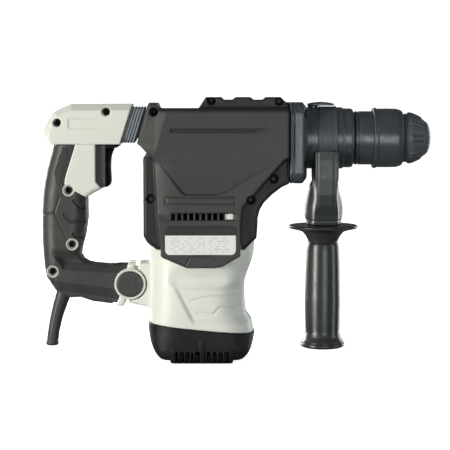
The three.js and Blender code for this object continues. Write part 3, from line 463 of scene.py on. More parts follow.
def trigger_paint():
    """The trigger's plastic: dark grey sides, and painted shade in near-black on the front past the
    bevel's edge.
    """
    paint = Paint("trigger_plastic")
    split = paint.add("ShaderNodeSeparateXYZ", {"Vector": paint.place})
    aside = paint.math("MULTIPLY", paint.math("ABSOLUTE", split.outputs["Y"]), TRIGGER_BEVEL["slope"])
    reach = paint.math("ADD", split.outputs["X"], aside)
    edge = TRIGGER_BEVEL["front"] + TRIGGER_BEVEL["slope"] * TRIGGER_BEVEL["from"] - 0.8
    shaded_front = paint.spread(reach, (edge - 0.4) * MM, (edge + 0.4) * MM, 0.0, 1.0)
    side = paint.edges(rgb("5C5D5B"), rgb("737472"), 0.3)
    # Painted shade: the front past the bevel is painted near-black.
    colour = paint.mix(shaded_front, side, rgb("080808"))
    rough = paint.cloud(9, 4, 0.42, 0.52)
    paint.bump(paint.noise(0.5, 2), 0.04)
    return paint.finish(colour, rough, Specular_IOR_Level=0.25)


PLATE_LOW, PLATE_HIGH = box("rating_plate")
PLATE_HEADER = 9.2  # height of the plate's dark band
PLATE_MARGIN = 6.0


def plate_film():
    """The rating plate's film: a dark band over an off-white field with rows of plain grey bars."""
    paint = Paint("plate_film")
    split = paint.add("ShaderNodeSeparateXYZ", {"Vector": paint.place})
    x, z = split.outputs["X"], split.outputs["Z"]
    header_edge = (PLATE_HIGH[2] - PLATE_HEADER) * MM
    row_pitch = 2.6 * MM
    rows = paint.math("DIVIDE", paint.math("SUBTRACT", header_edge, z), row_pitch)
    in_row = paint.math("LESS_THAN", paint.math("FRACT", rows), 0.3)
    row_number = paint.math("FLOOR", rows)
    marks = paint.add("ShaderNodeCombineXYZ", {
        "X": paint.math("MULTIPLY", x, 260.0), "Y": paint.math("MULTIPLY", row_number, 7.3),
    })
    marks = {"Vector": marks.outputs["Vector"], "Scale": 1.0, "Detail": 0.0}
    dashes = paint.add("ShaderNodeTexNoise", marks)
    on_dash = paint.math("GREATER_THAN", dashes.outputs["Fac"], 0.5)
    left = paint.math("GREATER_THAN", x, (PLATE_LOW[0] + PLATE_MARGIN) * MM)
    right = paint.math("LESS_THAN", x, (PLATE_HIGH[0] - PLATE_MARGIN) * MM)
    inside = paint.math("MULTIPLY", left, right)
    above_first = paint.math("GREATER_THAN", row_number, 0.5)
    below_last = paint.math("LESS_THAN", row_number, 6.5)
    shown = paint.math("MULTIPLY", paint.math("MULTIPLY", in_row, on_dash), inside)
    shown = paint.math("MULTIPLY", shown, paint.math("MULTIPLY", above_first, below_last))
    soft = paint.math("MULTIPLY", shown, 0.38)
    field = paint.mix(soft, rgb("F6F7F2"), rgb("6E6F6A"))
    in_header = paint.math("GREATER_THAN", z, header_edge)
    tint = paint.mix(paint.noise(12), rgb("10110D"), rgb("181912"))
    colour = paint.mix(in_header, field, tint)
    paint.bump(paint.noise(3, 2), 0.01)
    return paint.finish(colour, 0.46)


PAINTS = {
    "cover_plastic": cover_paint(),
    "nose_metal": coated_metal("nose_metal", "494F54", 0.33),
    "strap_coat": coated_metal("strap_coat", "4C5257", 0.5),
    "white_plastic": moulded("white_plastic", "EFF1E6", 0.42, 1.2, 0.02, vary=0.02, wear=0.0, crease_shade=0.15),
    "soft_rubber": rubber("soft_rubber", "444543", 0.42),
    "cap_rubber": rubber("cap_rubber", "50575C", 0.46),
    "bellows_rubber": rubber("bellows_rubber", "7E868B", 0.5),
    "black_plastic": moulded("black_plastic", "1B1C1B", 0.52, shine=0.25),
    "trigger_plastic": trigger_paint(),
    "grip_plastic": moulded("grip_plastic", "2F3331", 0.33, depth=0.015),
    "clamp_plastic": moulded("clamp_plastic", "3F4441", 0.42),
    "tool_steel": bare_metal("tool_steel", "A9ABAD", 0.3),
    "cast_aluminium": bare_metal("cast_aluminium", "B6B9BA", 0.5, (1, 1, 1)),
    "core_steel": bare_metal("core_steel", "6E7175", 0.5, (1, 1, 30), 0.8),
    "copper": bare_metal("copper", "B5703F", 0.38, (8, 8, 1)),
    "carbon": moulded("carbon", "232427", 0.7),
    "label_film": plate_film(),
    # The screws' own black, pushed to near-black and matt to paint the shade in the holes they sit in.
    "black_screw": bare_metal("black_screw", "060607", 0.8, (1, 1, 1), 0.0),
}
BLACK_NODES = ("flange_screw",)  # screws that keep their CAD shape under a black finish
for part in frame["record"]["subparts"]:
    carried = frame["nodes"][part["node"]]
    black = part["node"].startswith(BLACK_NODES)
    carried.data.materials.clear()
    carried.data.materials.append(PAINTS["black_screw" if black else part["material_slot"]])


# ---- Gear covers ----
COVER = {"face": 45.5, "strip": 36.0, "rail": 16.0, "wall": 3.2, "tongue": 41.9, "draft": 0.18}
COVER_EDGE = [
    (-63, 216), (-53, 252.5), (-51, 256), (-44, 256), (-42, 250.5), (85.7, 250.5), (85.7, 177),
    (78, 173.5), (69, 166.5), (61, 158.5), (57, 151.5), (55, 143), (55, 137), (54, 124), (42, 112.5),
    (-44, 112.5), (-53, 119), (-57, 126), (-57, 202), (-53, 208), (-57, 213),
]
RAIL_EDGE = [
    (-6, 246), (4, 261.5), (19.5, 261.5), (22, 259), (30.5, 259), (33.5, 261.5), (48, 261.5), (51, 259),
    (60.5, 259), (63.5, 261.5), (78, 261.5), (83, 256.5), (85.7, 256.5), (85.7, 246),
]
FACE_EDGE = [
    (-51, 253), (-44, 253), (-41, 248.5), (85.7, 248.5), (85.7, 202), (81, 199.5), (41, 154), (39.5, 140),
    (39.5, 108), (39, 106), (21, 95.5), (13.5, 94), (-15, 94), (-17, 95), (-38, 104), (-41, 106.5),
    (-41, 118), (-43, 135), (-44.5, 168), (-46.5, 200), (-54, 208), (-61.5, 216),
]
NECK_LINE = ((-46.5, 200), (-32.5, 250))  # the crease where the face turns back to the neck
PANEL = [
    (-44, 201), (-19.7, 168.3), (-15.5, 166), (14, 166), (24, 169), (37.6, 177), (67, 194), (82, 201),
]
FACE_GROOVE = [(-29, 229), (52, 229), (70, 232)]
VENT = {
    "middle": (-0.3, 145.5), "half": (34, 3.7), "bars": 9, "first": -27.2, "pitch": 5.85, "slot": 2.0,
    "window": (26.8, 145.5),
}
FRAME_GROOVE = {"middle": (-0.8, 160.8), "half": (34, 3.2)}
TAB_MARK = [(-15.5, 97.5), (-11, 107), (9, 107), (13, 104)]
# The cover screws: x, z, how far out the surface round each stands, and how deep its head lies.
COVER_SCREWS = [
    (-46.3, 247.0, 23.0, 8.0), (-49.5, 162.5, 36.0, 3.2), (48, 161.5, 36.0, 3.2),
    (70.5, 181.8, 36.0, 3.2), (9.7, 258.0, 16.0, 8.0), (76.5, 257.5, 16.0, 8.0),
]
SCREW_HOLE = 4.3


def cover_face_depth(x, z):
    """How far the cover's face stands from the middle plane, before its sides."""
    leaning = 0.08 * np.maximum(z - 201, 0)
    bend = 0.0065 - 0.0052 * ramp(z, 195, 215)
    bowed = bend * np.clip(-14 - x, 0, 31) ** 2 * ramp(z, 138, 150)
    turned = 0.3 * np.maximum(line_side(x, z, *NECK_LINE), 0)
    sunk = 0.11 * np.maximum(201.5 - z, 0) * ramp(-outline_distance(PANEL, x, z), 0, 1.6)
    fade = ramp(x, 74, 46)
    shadow = 2.3 * groove(path_distance(FACE_GROOVE, x, z), 2.8) * np.maximum(fade, 0)
    framed = 0.9 * groove(abs(brick(x, z, FRAME_GROOVE["middle"], FRAME_GROOVE["half"], 0.6)), 1.3)
    tab = 0.8 * groove(path_distance(TAB_MARK, x, z), 1.3)
    return COVER["face"] - leaning - bowed - turned - sunk - shadow - framed - tab


def cover_shape(x, d, z):
    """Half of the covers: skirt, raised face and rail, hollowed, with the vent and the screw holes."""
    skirt = slab(outline_distance(COVER_EDGE, x, z), d, COVER["strip"], 4.0)
    edge = outline_distance(FACE_EDGE, x, z)
    side = edge + np.maximum(d - COVER["strip"], 0) * COVER["draft"]
    face = meet(d - cover_face_depth(x, z), side, 1.4)
    body = join(skirt, face, 1.5)
    body = join(body, slab(outline_distance(RAIL_EDGE, x, z), d, COVER["rail"], 1.5), 1.0)
    body = cut(body, overlap(z - 112.4, d - COVER["tongue"], -60 - x))
    front = overlap(80 - x, d - 33, 180 - z, z - 247)
    back = overlap(x + 50, d - 15, 219 - z, z - 247)
    below = overlap(z - 117, d - COVER["tongue"], abs(x + 1) - 39.5)
    pocket = overlap(brick(x, z, VENT["middle"], VENT["half"], 1.0), COVER["face"] - 1.4 - d)
    shell = cut(body, body + COVER["wall"], front, back, below, pocket)
    bars = [(VENT["first"] + VENT["pitch"] * i, VENT["middle"][1]) for i in range(VENT["bars"])]
    openings = [(middle, VENT["slot"]) for middle in bars] + [(VENT["window"], 4.6)]
    for middle, half in openings:
        opening = brick(x, z, middle, (half, VENT["half"][1] - 0.6), 0.3)
        shell = cut(shell, overlap(opening, COVER["face"] - 12 - d))
    for sx, sz, height, depth in COVER_SCREWS:
        post = np.hypot(x - sx, z - sz)
        tower = overlap(post - SCREW_HOLE - 1.6, d - height + 3, body + 1)
        tower = np.maximum(tower, 32.4 - d) if depth < 4 else tower
        shell = np.minimum(shell, tower)
        shell = cut(shell, overlap(post - SCREW_HOLE, height - depth - d))
    return overlap(shell, SEAM - d)


def vent_catch():
    """The pale clip that shows behind the vent's last opening."""
    def shape(x, y, z):
        body = meet(brick(x, z, (26.9, VENT["middle"][1]), (4.2, 2.9), 0.5), abs(y + 40.2) - 2.2, 0.5)
        return body + 0.5 * groove(abs(x - 25.4), 1.0)

    mesh = carve(shape, (22, -43, 142), (32, -37.5, 149), 0.35)
    piece("vent_catch", *mesh, "white_plastic", "housing")


def gear_covers():
    mesh = carve(cover_shape, *box("gear_cover_left"), 0.85)
    both_halves("gear_cover", *mesh, "cover_plastic", "housing")


SCREW_HEAD = {"radius": 3.4, "height": 4.0, "lobes": 6}


def screw(x, z, top):
    """A screw head seen along Y, with a star socket, as vertices and faces; top is its distance d."""
    def star(_, r, turn):
        return np.where((r < 2.2) & (r > 0.5), 0.25 * np.cos(SCREW_HEAD["lobes"] * turn), 0)

    radius = SCREW_HEAD["radius"]
    bottom = top - SCREW_HEAD["height"]
    profile = [
        (bottom, 0.01), (bottom, radius), (top, radius), (top, 1.9), (top - 2, 1.5), (top - 2, 0.01),
    ]
    vertices, faces = spin(rounded(profile, 0.5, 3), 0, (0, 0, 0), 36, star)
    return facing_side(vertices, x, z), faces


def merged(parts):
    """Several meshes as one list of vertices and one of faces."""
    vertices, faces, start = [], [], 0
    for v, f in parts:
        vertices.append(np.asarray(v))
        faces += [[start + i for i in face] for face in f]
        start += len(v)
    return np.concatenate(vertices), faces


def side_screws(stem, places, body):
    """Screw heads in the left half's holes, and their mirror images in the right half's."""
    heads = merged([screw(*place) for place in places])
    # These heads take the near-black finish that also paints the shade in their holes.
    piece(f"{stem}_left", *heads, "black_screw", body, slot="tool_steel")
    piece(f"{stem}_right", *flipped(*heads, 1), "black_screw", body, slot="tool_steel")


def cover_screws():
    places = [(x, z, height - depth + 0.4) for x, z, height, depth in COVER_SCREWS]
    side_screws("cover_screws", places, "housing")


def rating_plate():
    low, high = box("rating_plate")
    middle = (low + high) / 2
    half = (high - low) / 2

    def shape(x, y, z):
        edge = brick(x, z, (middle[0], middle[2]), (half[0], half[2]), 5)
        return slab(edge, abs(y - middle[1]), half[1], 0.25)

    carved("rating_film", "rating_plate", shape, 0.3, "label_film", "housing")


# ---- Barrel housing: flange, collar and nose tube ----
LEVER_PIVOT = 110.3  # where the mode lever's pin is along X
FLANGE_SCREW_PLACES = [(y, TOOL_Z + z) for y in (-29.5, 29.5) for z in (-24, 24)]


def barrel_housing():
    """The flange with its four screw holes, the collar behind the band, and the nose tube."""
    low, high = box("barrel_housing")
    flange_top = high[2]
    collar = box("clamp_strap")
    radius = 30.5

    def shape(x, y, z):
        middle = (0, (flange_top + low[2]) / 2)
        edge = brick(y, z, middle, (37, (flange_top - low[2]) / 2), 12)
        flange = slab(edge, x, 103, 1.2)
        chamfer = (edge + 5.5 + 1.3 * (x - 103)) / 1.64
        flange = overlap(meet(flange, chamfer, 0.8), low[0] - x)
        flange = flange + 0.7 * groove(abs(x - (low[0] + 3.2)), 1.1)
        r = np.hypot(y, z - TOOL_Z)
        step = 1.2 * ramp(x, 139.2, 139.9)
        nose = meet(r - radius + step, x - high[0], 3.5)
        ring = 0.6 * groove(abs(x - (collar[0][0] - 1.0)), 1.0)
        nose = np.maximum(nose + ring, 98 - x)
        body = join(flange, nose, 1.2)
        for sy, sz in FLANGE_SCREW_PLACES:
            body = cut(body, overlap(np.hypot(y - sy, z - sz) - 4.6, 96.5 - x))
        bore = overlap(r - np.where(x < 120, 24, 16.5), -1.0)
        lever = overlap(np.hypot(x - LEVER_PIVOT, y) - 5.4, 246.5 - z)
        return cut(body, bore, lever)

    carved("barrel_skin", "barrel_housing", shape, 0.75, "nose_metal", "housing")


def turned(name, node, profile, soft, paint, body, slot=None, raised=None, longest=4, sides=144):
    """A piece turned about the chuck's axis."""
    ring = divided(rounded(profile, soft), longest)
    piece(name, *spin(ring, 0, (0, 0, TOOL_Z), sides, raised), paint, body, node, slot)


def chuck():
    """The spindle's ring, and the lock sleeve that slides back over it."""
    low, high = box("chuck_ring")
    back, front, ring = low[0], high[0], high[1]
    profile = [
        (back, 14.2), (back, ring - 0.9), (back + 1.4, ring), (back + 3.0, ring),
        (back + 3.4, ring - 0.7), (back + 4.2, ring - 0.7), (back + 4.6, ring), (front, ring),
        (front, 22), (back + 4.2, 22), (back + 4.2, 14.2), (back, 14.2),
    ]
    turned("chuck_ring_skin", "chuck_ring", profile, 0.3, "nose_metal", "tool_spindle")
    low, high = box("lock_sleeve")
    back, front, radius = low[0], high[0], high[1]
    inner = ring + 0.4
    profile = [
        (back, inner), (back, radius - 0.7), (back + 0.8, radius), (back + 3.2, radius),
        (back + 4.2, radius - 0.9), (back + 14, radius - 0.8), (front - 6, radius - 1.0),
        (front - 2.2, radius - 2.2), (front, 26.5), (front, 16), (front - 15, 16), (front - 15, 12.2),
        (front - 17.5, 12.2), (front - 17.5, inner), (back, inner),
    ]
    turned("lock_sleeve_skin", "lock_sleeve", profile, 1.6, "nose_metal", "chuck_sleeve")


CAP_RIBS = 8


def dust_cap():
    """The rubber nose, with hollow lugs round it."""
    low, high = box("dust_cap")
    back, tip = low[0], high[0]
    profile = [
        (back, 12.2), (back, 24.3), (back + 8.5, 24.0), (back + 15, 21.2), (back + 22, 17.4),
        (back + 25.2, 14.0), (tip - 0.7, 10.5), (tip, 8.5), (tip, 5.7), (tip - 9.2, 5.7),
        (tip - 9.2, 12.2), (back, 12.2),
    ]

    def raised(along, radius, turn):
        outside = ramp(radius, 12.8, 13.6)
        phase = (turn * CAP_RIBS / (2 * math.pi) + 0.36) % 1
        lug = ramp(phase, 0.16, 0.2) * (1 - ramp(phase, 0.52, 0.56))
        window = ramp(along, back + 4.6, back + 5.4) * (1 - ramp(along, back + 18.2, back + 19))
        inner = ramp(phase, 0.25, 0.28) * (1 - ramp(phase, 0.44, 0.47))
        hollow = inner * ramp(along, back + 8.0, back + 8.6)
        rings = sum(0.5 * groove(abs(along - (back + place)), 1.2) for place in (1.8, 21.6))
        return outside * (1.4 * lug * window * (1 - 0.85 * hollow) - rings)

    paint, slot = "cap_rubber", "soft_rubber"
    turned("dust_cap_skin", "dust_cap", profile, 1.8, paint, "tool_spindle", slot, raised, 0.6, 288)


def mode_lever():
    """A domed plate on a pin, with a ring pressed into its end."""
    low, high = box("mode_lever")
    middle_x, half_x = (low[0] + high[0]) / 2, (high[0] - low[0]) / 2
    base = 253.0

    def shape(x, y, z):
        edge = brick(x, y, (middle_x, 0), (half_x, high[1]), high[1] - 0.5)
        crown = high[2] - 0.010 * (x - middle_x) ** 2 - 0.02 * y * y
        plate = meet(meet(edge, z - crown, 1.2), base - z, 0.6)
        stem = overlap(np.hypot(x - LEVER_PIVOT, y) - 5, z - base - 1, low[2] - z)
        finger = 0.5 * groove(abs(np.hypot(x - 126, y) - 2.6), 1.1) * ramp(z, base + 1, base + 1.5)
        return join(plate, stem, 0.6) + finger

    carved("mode_lever_skin", "mode_lever", shape, 0.35, "nose_metal", "mode_selector")


# ---- Side handle ----
def side_handle():
    """The band round the collar, and the saddle below it."""
    low, high = box("clamp_strap")
    back, front, outer = low[0], high[0], high[1]
    profile = [
        (back, outer - 0.9), (back, outer), (back + 1.6, outer), (back + 2.2, outer - 0.35),
        (front - 2.2, outer - 0.35), (front - 1.6, outer), (front, outer), (front, outer - 0.9),
        (back, outer - 0.9),
    ]
    turned("clamp_band", "clamp_strap", profile, 0.25, "strap_coat", "side_clamp", "tool_steel")
    shape = saddle_shape(*box("clamp_saddle"))
    paint, slot = "clamp_plastic", "grip_plastic"
    carved("clamp_saddle_skin", "clamp_saddle", shape, 0.7, paint, "side_clamp", slot)


def saddle_shape(low, high):
    """The fork under the collar: two flat arms that run down into a round boss."""
    grip_x = 121.5
    arm = [(20, 135), (25, 145), (32, 154), (36, 166), (37.8, 183), (38, 200), (36.5, 209)]
    arms = [(-y, z) for y, z in arm[::-1]] + arm

    def shape(x, y, z):
        across = outline_distance(arms, y, z)
        width = 12.3 - 1.5 * ramp(z, 185, 170) * ramp(z, 150, 165)
        bar = meet(across, abs(x - grip_x - 1) - width, 2.0)
        panel = 0.9 * (1 - ramp(abs(x - grip_x), 6.6, 7.4)) * ramp(z, 154 - 0.6 * abs(x - grip_x), 157)
        lip = ramp(abs(y), 17, 30)
        bar = bar - (panel - 0.9) * lip
        flare = 14.5 + 4.6 * ramp(z, 176, 150) - 1.2 * ramp(z, 146, 137)
        boss = np.hypot(x - grip_x, y) - flare
        boss = meet(boss, z - 178, 6.0)
        body = join(bar, boss, 4.0)
        body = overlap(meet(body, low[2] - z, 1.0), z - high[2])
        waist = 0.6 * groove(abs(z - 139.5), 1.2)
        collar = np.hypot(y, z - TOOL_Z) - 31.9
        tang = overlap(abs(x - 124.5) - 6.5, abs(y) - 3.5, 171 - z)
        bolt = np.hypot(x - 121, y) - 4.3
        return cut(body + waist, collar, tang, bolt)

    return shape


SPRING = {"radius": 18.0, "wire": 0.9, "turns": 5, "fixed_end": 155.7}


def sleeve_spring():
    """The lock sleeve's coil spring."""
    low, high = box("sleeve_spring")
    start, end = low[0] + SPRING["wire"], high[0] - SPRING["wire"]
    steps, sides = 40 * SPRING["turns"], 12
    vertices = []
    for i in range(steps + 1):
        turn = 2 * math.pi * SPRING["turns"] * i / steps
        x = start + (end - start) * i / steps
        for k in range(sides):
            angle = 2 * math.pi * k / sides
            radius = SPRING["radius"] + SPRING["wire"] * math.cos(angle)
            along = x + SPRING["wire"] * math.sin(angle)
            vertices.append((along, radius * math.cos(turn), TOOL_Z + radius * math.sin(turn)))
    faces = tube_faces(steps + 1, sides, closed=False)
    faces.append(list(range(sides))[::-1])
    faces.append([steps * sides + k for k in range(sides)])
    coil = piece("sleeve_coil", vertices, faces, "tool_steel", "tool_spindle", "sleeve_spring")
    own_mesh(coil)


def side_grip():
    low, high = box("side_grip")
    top = high[2]
    guard = high[1]
    profile = [
        (top, 4.6), (top, guard - 1.6), (top - 1.6, guard), (top - 3.4, guard - 1.0), (top - 5.2, 25.5),
        (top - 7, 20.5), (top - 12, 16.6), (top - 16.6, 14.6), (top - 17.4, 14.0), (top - 18.4, 15.6),
        (top - 24, 16.4), (top - 46, 17.2), (top - 76, 17.8), (top - 100, 17.3), (top - 108, 17.0),
        (top - 113, 18.3), (top - 117.2, 21.2), (top - 118.2, 20.6), (top - 119, 21.9),
        (top - 121.5, 22.3), (low[2], 19.0), (low[2], 0.5), (top - 26, 0.5), (top - 26, 4.6), (top, 4.6),
    ]
    mesh = spin(divided(rounded(profile, 1.6), 2.5), 2, (121.0, 0, 0), 144)
    piece("side_grip_skin", *mesh, "grip_plastic", "side_handle_grip", "side_grip")


# ---- Motor housing and end cap ----
# The oval motor body: its lowest and highest x and its half width at some heights.
MOTOR_SPANS = {
    "z": [30, 40, 48, 60, 72, 80, 86, 92, 100, 108, 122],
    "low": [-54.0, -53.5, -51.8, -50.8, -50.2, -50.0, -50.2, -50.6, -51.6, -52.6, -53.4],
    "high": [51.5, 49.5, 44.0, 42.6, 42.4, 42.6, 44.4, 46.6, 49.6, 51.5, 52.8],
    "half": [43.3, 43.4, 43.4, 43.1, 42.8, 42.4, 41.9, 41.4, 41.4, 41.4, 41.4],
    "power": [3.0, 3.0, 3.0, 3.0, 3.0, 3.0, 2.9, 2.8, 2.7, 2.6, 2.5],
}
CAP_SPANS = {
    "z": [4, 8, 13, 20, 30, 40],
    "low": [-42.0, -45.5, -48.5, -51.2, -53.0, -53.6],
    "high": [42.0, 45.8, 48.8, 50.9, 52.8, 53.0],
    "half": [39.4, 41.3, 42.4, 42.9, 43.2, 43.2],
    "power": [6.0, 5.4, 4.6, 3.8, 3.2, 3.0],
}
WAIST_LINE = ((-11, 46.9), (-25.6, 76.1))
STEP_LINES = [
    [(-11, 62.4), (2.6, 66.8), (46, 66.8)],
    [(-4.2, 51.3), (12.3, 49.8), (17.2, 55.6), (46, 55.6)],
]
PIVOT = (-71.2, 76.7)
BRACKET = [(-62, 97.5), (-42, 97.5), (-42, 52), (-52, 53.5), (-73.5, 57.8)]


def pivot_distance(x, z):
    """How far a sample is from the rear handle's pivot pin."""
    return np.hypot(x - PIVOT[0], z - PIVOT[1])


def cap_seam(x):
    """The leaning seam between the motor housing and its end cap."""
    return 33.6 - 0.099 * x


def column(spans, x, y, z):
    """A field for an upright oval body, squarer where its power is higher."""
    low, high, half, power = [
        np.interp(z, spans["z"], spans[key]) for key in ("low", "high", "half", "power")
    ]
    middle, reach = (low + high) / 2, (high - low) / 2
    scaled = (np.abs((x - middle) / reach) ** power + np.abs(y / half) ** power) ** (1 / power)
    return (scaled - 1) * np.minimum(reach, half)


def motor_waist(x, z, side):
    """How deep the body's flank is pressed in, with the lines that are engraved in it."""
    right_of = ramp(-line_side(x, z, *WAIST_LINE), -2.6, 2.6)
    pressed = right_of * ramp(z, 37, 47) * (1 - ramp(z, 72, 82))
    band = ramp(z, 75.5, 81.5) * (1 - ramp(z, 83, 97)) * ramp(x, -34, -20) * (1 - ramp(x, 6, 36))
    lines = sum(groove(path_distance(line, x, z), 1.6) for line in STEP_LINES)
    flank = ramp(side, 16, 32)
    return (2.8 * pressed + 3.4 * band + 0.9 * lines) * flank


def pivot_lug(x, side, z):
    """The lug behind the motor that carries the rear handle's pin."""
    bracket = meet(outline_distance(BRACKET, x, z), side - 17, 2.5)
    from_pin = pivot_distance(x, z)
    bracket = cut(bracket, overlap(from_pin - 16.7, 10 - side))
    tongue = np.minimum(from_pin - 12, brick(x, z, (-60, PIVOT[1]), (12, 12), 0.5))
    return join(bracket, overlap(tongue, side - 10), 0.6)


def motor_housing():
    def shape(x, y, z):
        side = abs(y)
        body = column(MOTOR_SPANS, x, y, z) + motor_waist(x, z, side)
        body = join(body, pivot_lug(x, side, z), 2.5)
        roof = z - 112 - 0.72 * np.maximum(-44 - x, 0) - 0.98 * np.maximum(x - 42, 0)
        body = overlap(meet(body, cap_seam(x) + 0.3 - z, 0.8), roof)
        return cut(body, np.hypot(x, y) - 36.8, pivot_distance(x, z) - 4.2)

    carved("motor_housing_skin", "motor_housing", shape, 0.85, "white_plastic", "housing")


# The foot's ribs along X: the middle and half width of each, and how far up it reaches.
FINS = [
    (-27.4, 1.9, 15), (-22, 1.0, 12.5), (-16.1, 1.0, 12.5), (-11, 1.0, 12.5), (-7.4, 0.9, 12.5),
    (0.6, 2.3, 24), (4.6, 0.8, 12.5), (10, 1.2, 12.5), (16, 1.2, 12.5), (22, 1.2, 12.5), (28.8, 1.9, 15),
]


def motor_end_cap():
    """The bowl under the motor, with vents between the ribs of its foot."""
    low = box("motor_end_cap")[0]

    def shape(x, y, z):
        side = abs(y)
        bowl = meet(column(CAP_SPANS, x, y, z), 3.4 - z, 2.0)
        foot = meet(meet(brick(x, y, (0, 0), (31, 36.0), 6), z - 14, 3), low[2] - z, 0.7)
        body = join(bowl, foot, 1.5)
        fins = 99.0 + 0 * bowl
        for middle, half, top in FINS:
            fins = np.minimum(fins, overlap(abs(x - middle) - half, z - top, body - 1.0))
        gap = overlap(abs(x - 0.6) - 27, 31.5 - side, z - 12.5, 1.6 - z)
        body = join(cut(body, gap), overlap(fins, 30 - side, low[2] + 0.2 - z), 0.4)
        body = meet(body, z - cap_seam(x), 0.8)
        r = np.hypot(x, y)
        hollow = overlap(r - np.interp(z, [9, 22], [33.8, 37.8]), 9 - z)
        seat = overlap(r - 14, 11.3 - r, z - 20, 8 - z)
        return np.minimum(cut(body, hollow), seat)

    carved("end_cap_skin", "motor_end_cap", shape, 0.7, "black_plastic", "housing")


# ---- Rear handle ----
ARM_EDGE = [
    (-157, 228), (-153, 237), (-146, 247), (-129, 254.5), (-68, 255), (-80.5, 215), (-148, 215),
]
ARM_TOP = [(-157, 228), (-153, 237), (-146, 247), (-129, 254.5), (-60, 255), (-60, 150), (-157, 150)]
ARM_ROOM = [(-138, 219), (-86, 219), (-76, 249), (-138, 247)]
ARM_PANEL = [(-131, 240.3), (-106, 240.3), (-89, 236), (-89, 229.9), (-131, 230.6)]
ARM_SCREWS = [(-142.2, 236.3, 19.0), (-94.0, 247.0, 19.0)]
MID_PANEL = [
    (-124.0, 216), (-135, 181), (-135.5, 176), (-133, 172.5), (-127, 169.5), (-114, 162.6),
    (-106, 167.5), (-98.5, 171.2), (-104.7, 178), (-104.7, 216),
]
GRIP_EDGE = [
    (-141.5, 236), (-147.3, 214.6), (-151, 201), (-154, 190), (-156.3, 178), (-158.3, 164), (-159.3, 150),
    (-159.4, 134), (-159.2, 119), (-158.2, 104), (-157, 92), (-155.5, 83), (-152.5, 78), (-150.4, 73.5),
    (-146.5, 67.5), (-131, 62), (-121, 62.5), (-109, 58.5), (-66, 53), (-66, 97.5), (-82, 97.5),
    (-92, 95), (-107, 96.5), (-113, 98), (-117.4, 101), (-120, 106), (-119, 113), (-115.5, 126),
    (-113, 143), (-113.5, 163), (-106, 167.5), (-98.5, 171.2), (-98.5, 236),
]
BOSSES = [(-131.5, 169.7), (-128.4, 116.1), (-147.8, 89.0)]
BOSS = {"ring": 6.0, "hole": 5.0, "top": 17.7, "depth": 3.0}
RING = {"outer": 15.5, "inner": 13.2, "rim": 18.9, "floor": 17.9}
TABS = [(-84.5, 54.6), (-77.5, 54.6), (-66, 97.5), (-73, 97.5)]
PAST_TABS = [(-88.8, 40), (-40, 40), (-40, 110), (-70.1, 110)]
GRIP_SEAMS = [
    [(-140.2, 163.6), (-145.7, 147.3), (-160, 145)],
    [(-145.7, 147.3), (-133.6, 121.5)],
]
FINGER_LINES = [
    [(-126.3, 159.5), (-120.4, 152.3), (-117, 152)],
    [(-136.2, 145.8), (-129.7, 138.6), (-117, 138.3)],
    [(-127.3, 126.5), (-121, 121.5), (-119.5, 121.4)],
]
GRIP = {"half": 17.4, "rim": 16.0}
KNURL_PITCH = 3.0
KNURL = [(-137, 213), (-124, 213), (-135.5, 181), (-136, 176), (-141, 172), (-146, 186)]


def strain_axis(z):
    """Where the strain relief's middle line is, and its radius, at a height."""
    heights = [13, 16, 26, 41, 56, 66, 74]
    middle = np.interp(z, heights, [-150.8, -150.6, -149.4, -146.4, -142, -138.6, -136])
    radius = np.interp(z, heights, [6.1, 6.2, 6.1, 6.6, 7.6, 8.2, 8.4])
    return middle, radius


def strain_hole(x, d, z):
    """The hole in the grip that the strain relief comes out of."""
    middle, radius = strain_axis(z)
    return overlap(np.hypot(x - middle, d) - radius - 0.3, z - 74)


def handle_body(x, d, z):
    """The arm, the middle panel and the core that the rubber wraps."""
    arm = slab(outline_distance(ARM_EDGE, x, z), d, 19.0, 0.8)
    chamfer = (outline_distance(ARM_TOP, x, z) + 6.5 + 0.8 * (d - 19)) / 1.28
    arm = meet(arm, chamfer, 0.5)
    framed = outline_distance(ARM_PANEL, x, z)
    pressed = 0.8 * ramp(-framed, -0.6, 0.6) * ramp(-x, 90, 106)
    arm = arm + pressed * ramp(d, 16, 18)
    grip = outline_distance(GRIP_EDGE, x, z)
    proud = slab(grip, d, GRIP["half"], GRIP["rim"] - 11 * ramp(x, -126, -112)) - 0.4
    panel = meet(outline_distance(MID_PANEL, x, z), proud, 0.8)
    core = overlap(grip + 6, d - 9.5)
    neck = overlap(brick(x, z, (-124.5, 211), (20.5, 6), 0.5), d - 9.5)
    solid = np.minimum(join(arm, panel, 0.6), np.minimum(core, neck))
    for bx, bz in BOSSES:
        solid = np.minimum(solid, slab(np.hypot(x - bx, z - bz) - BOSS["ring"], d, BOSS["top"], 0.5))
    return solid


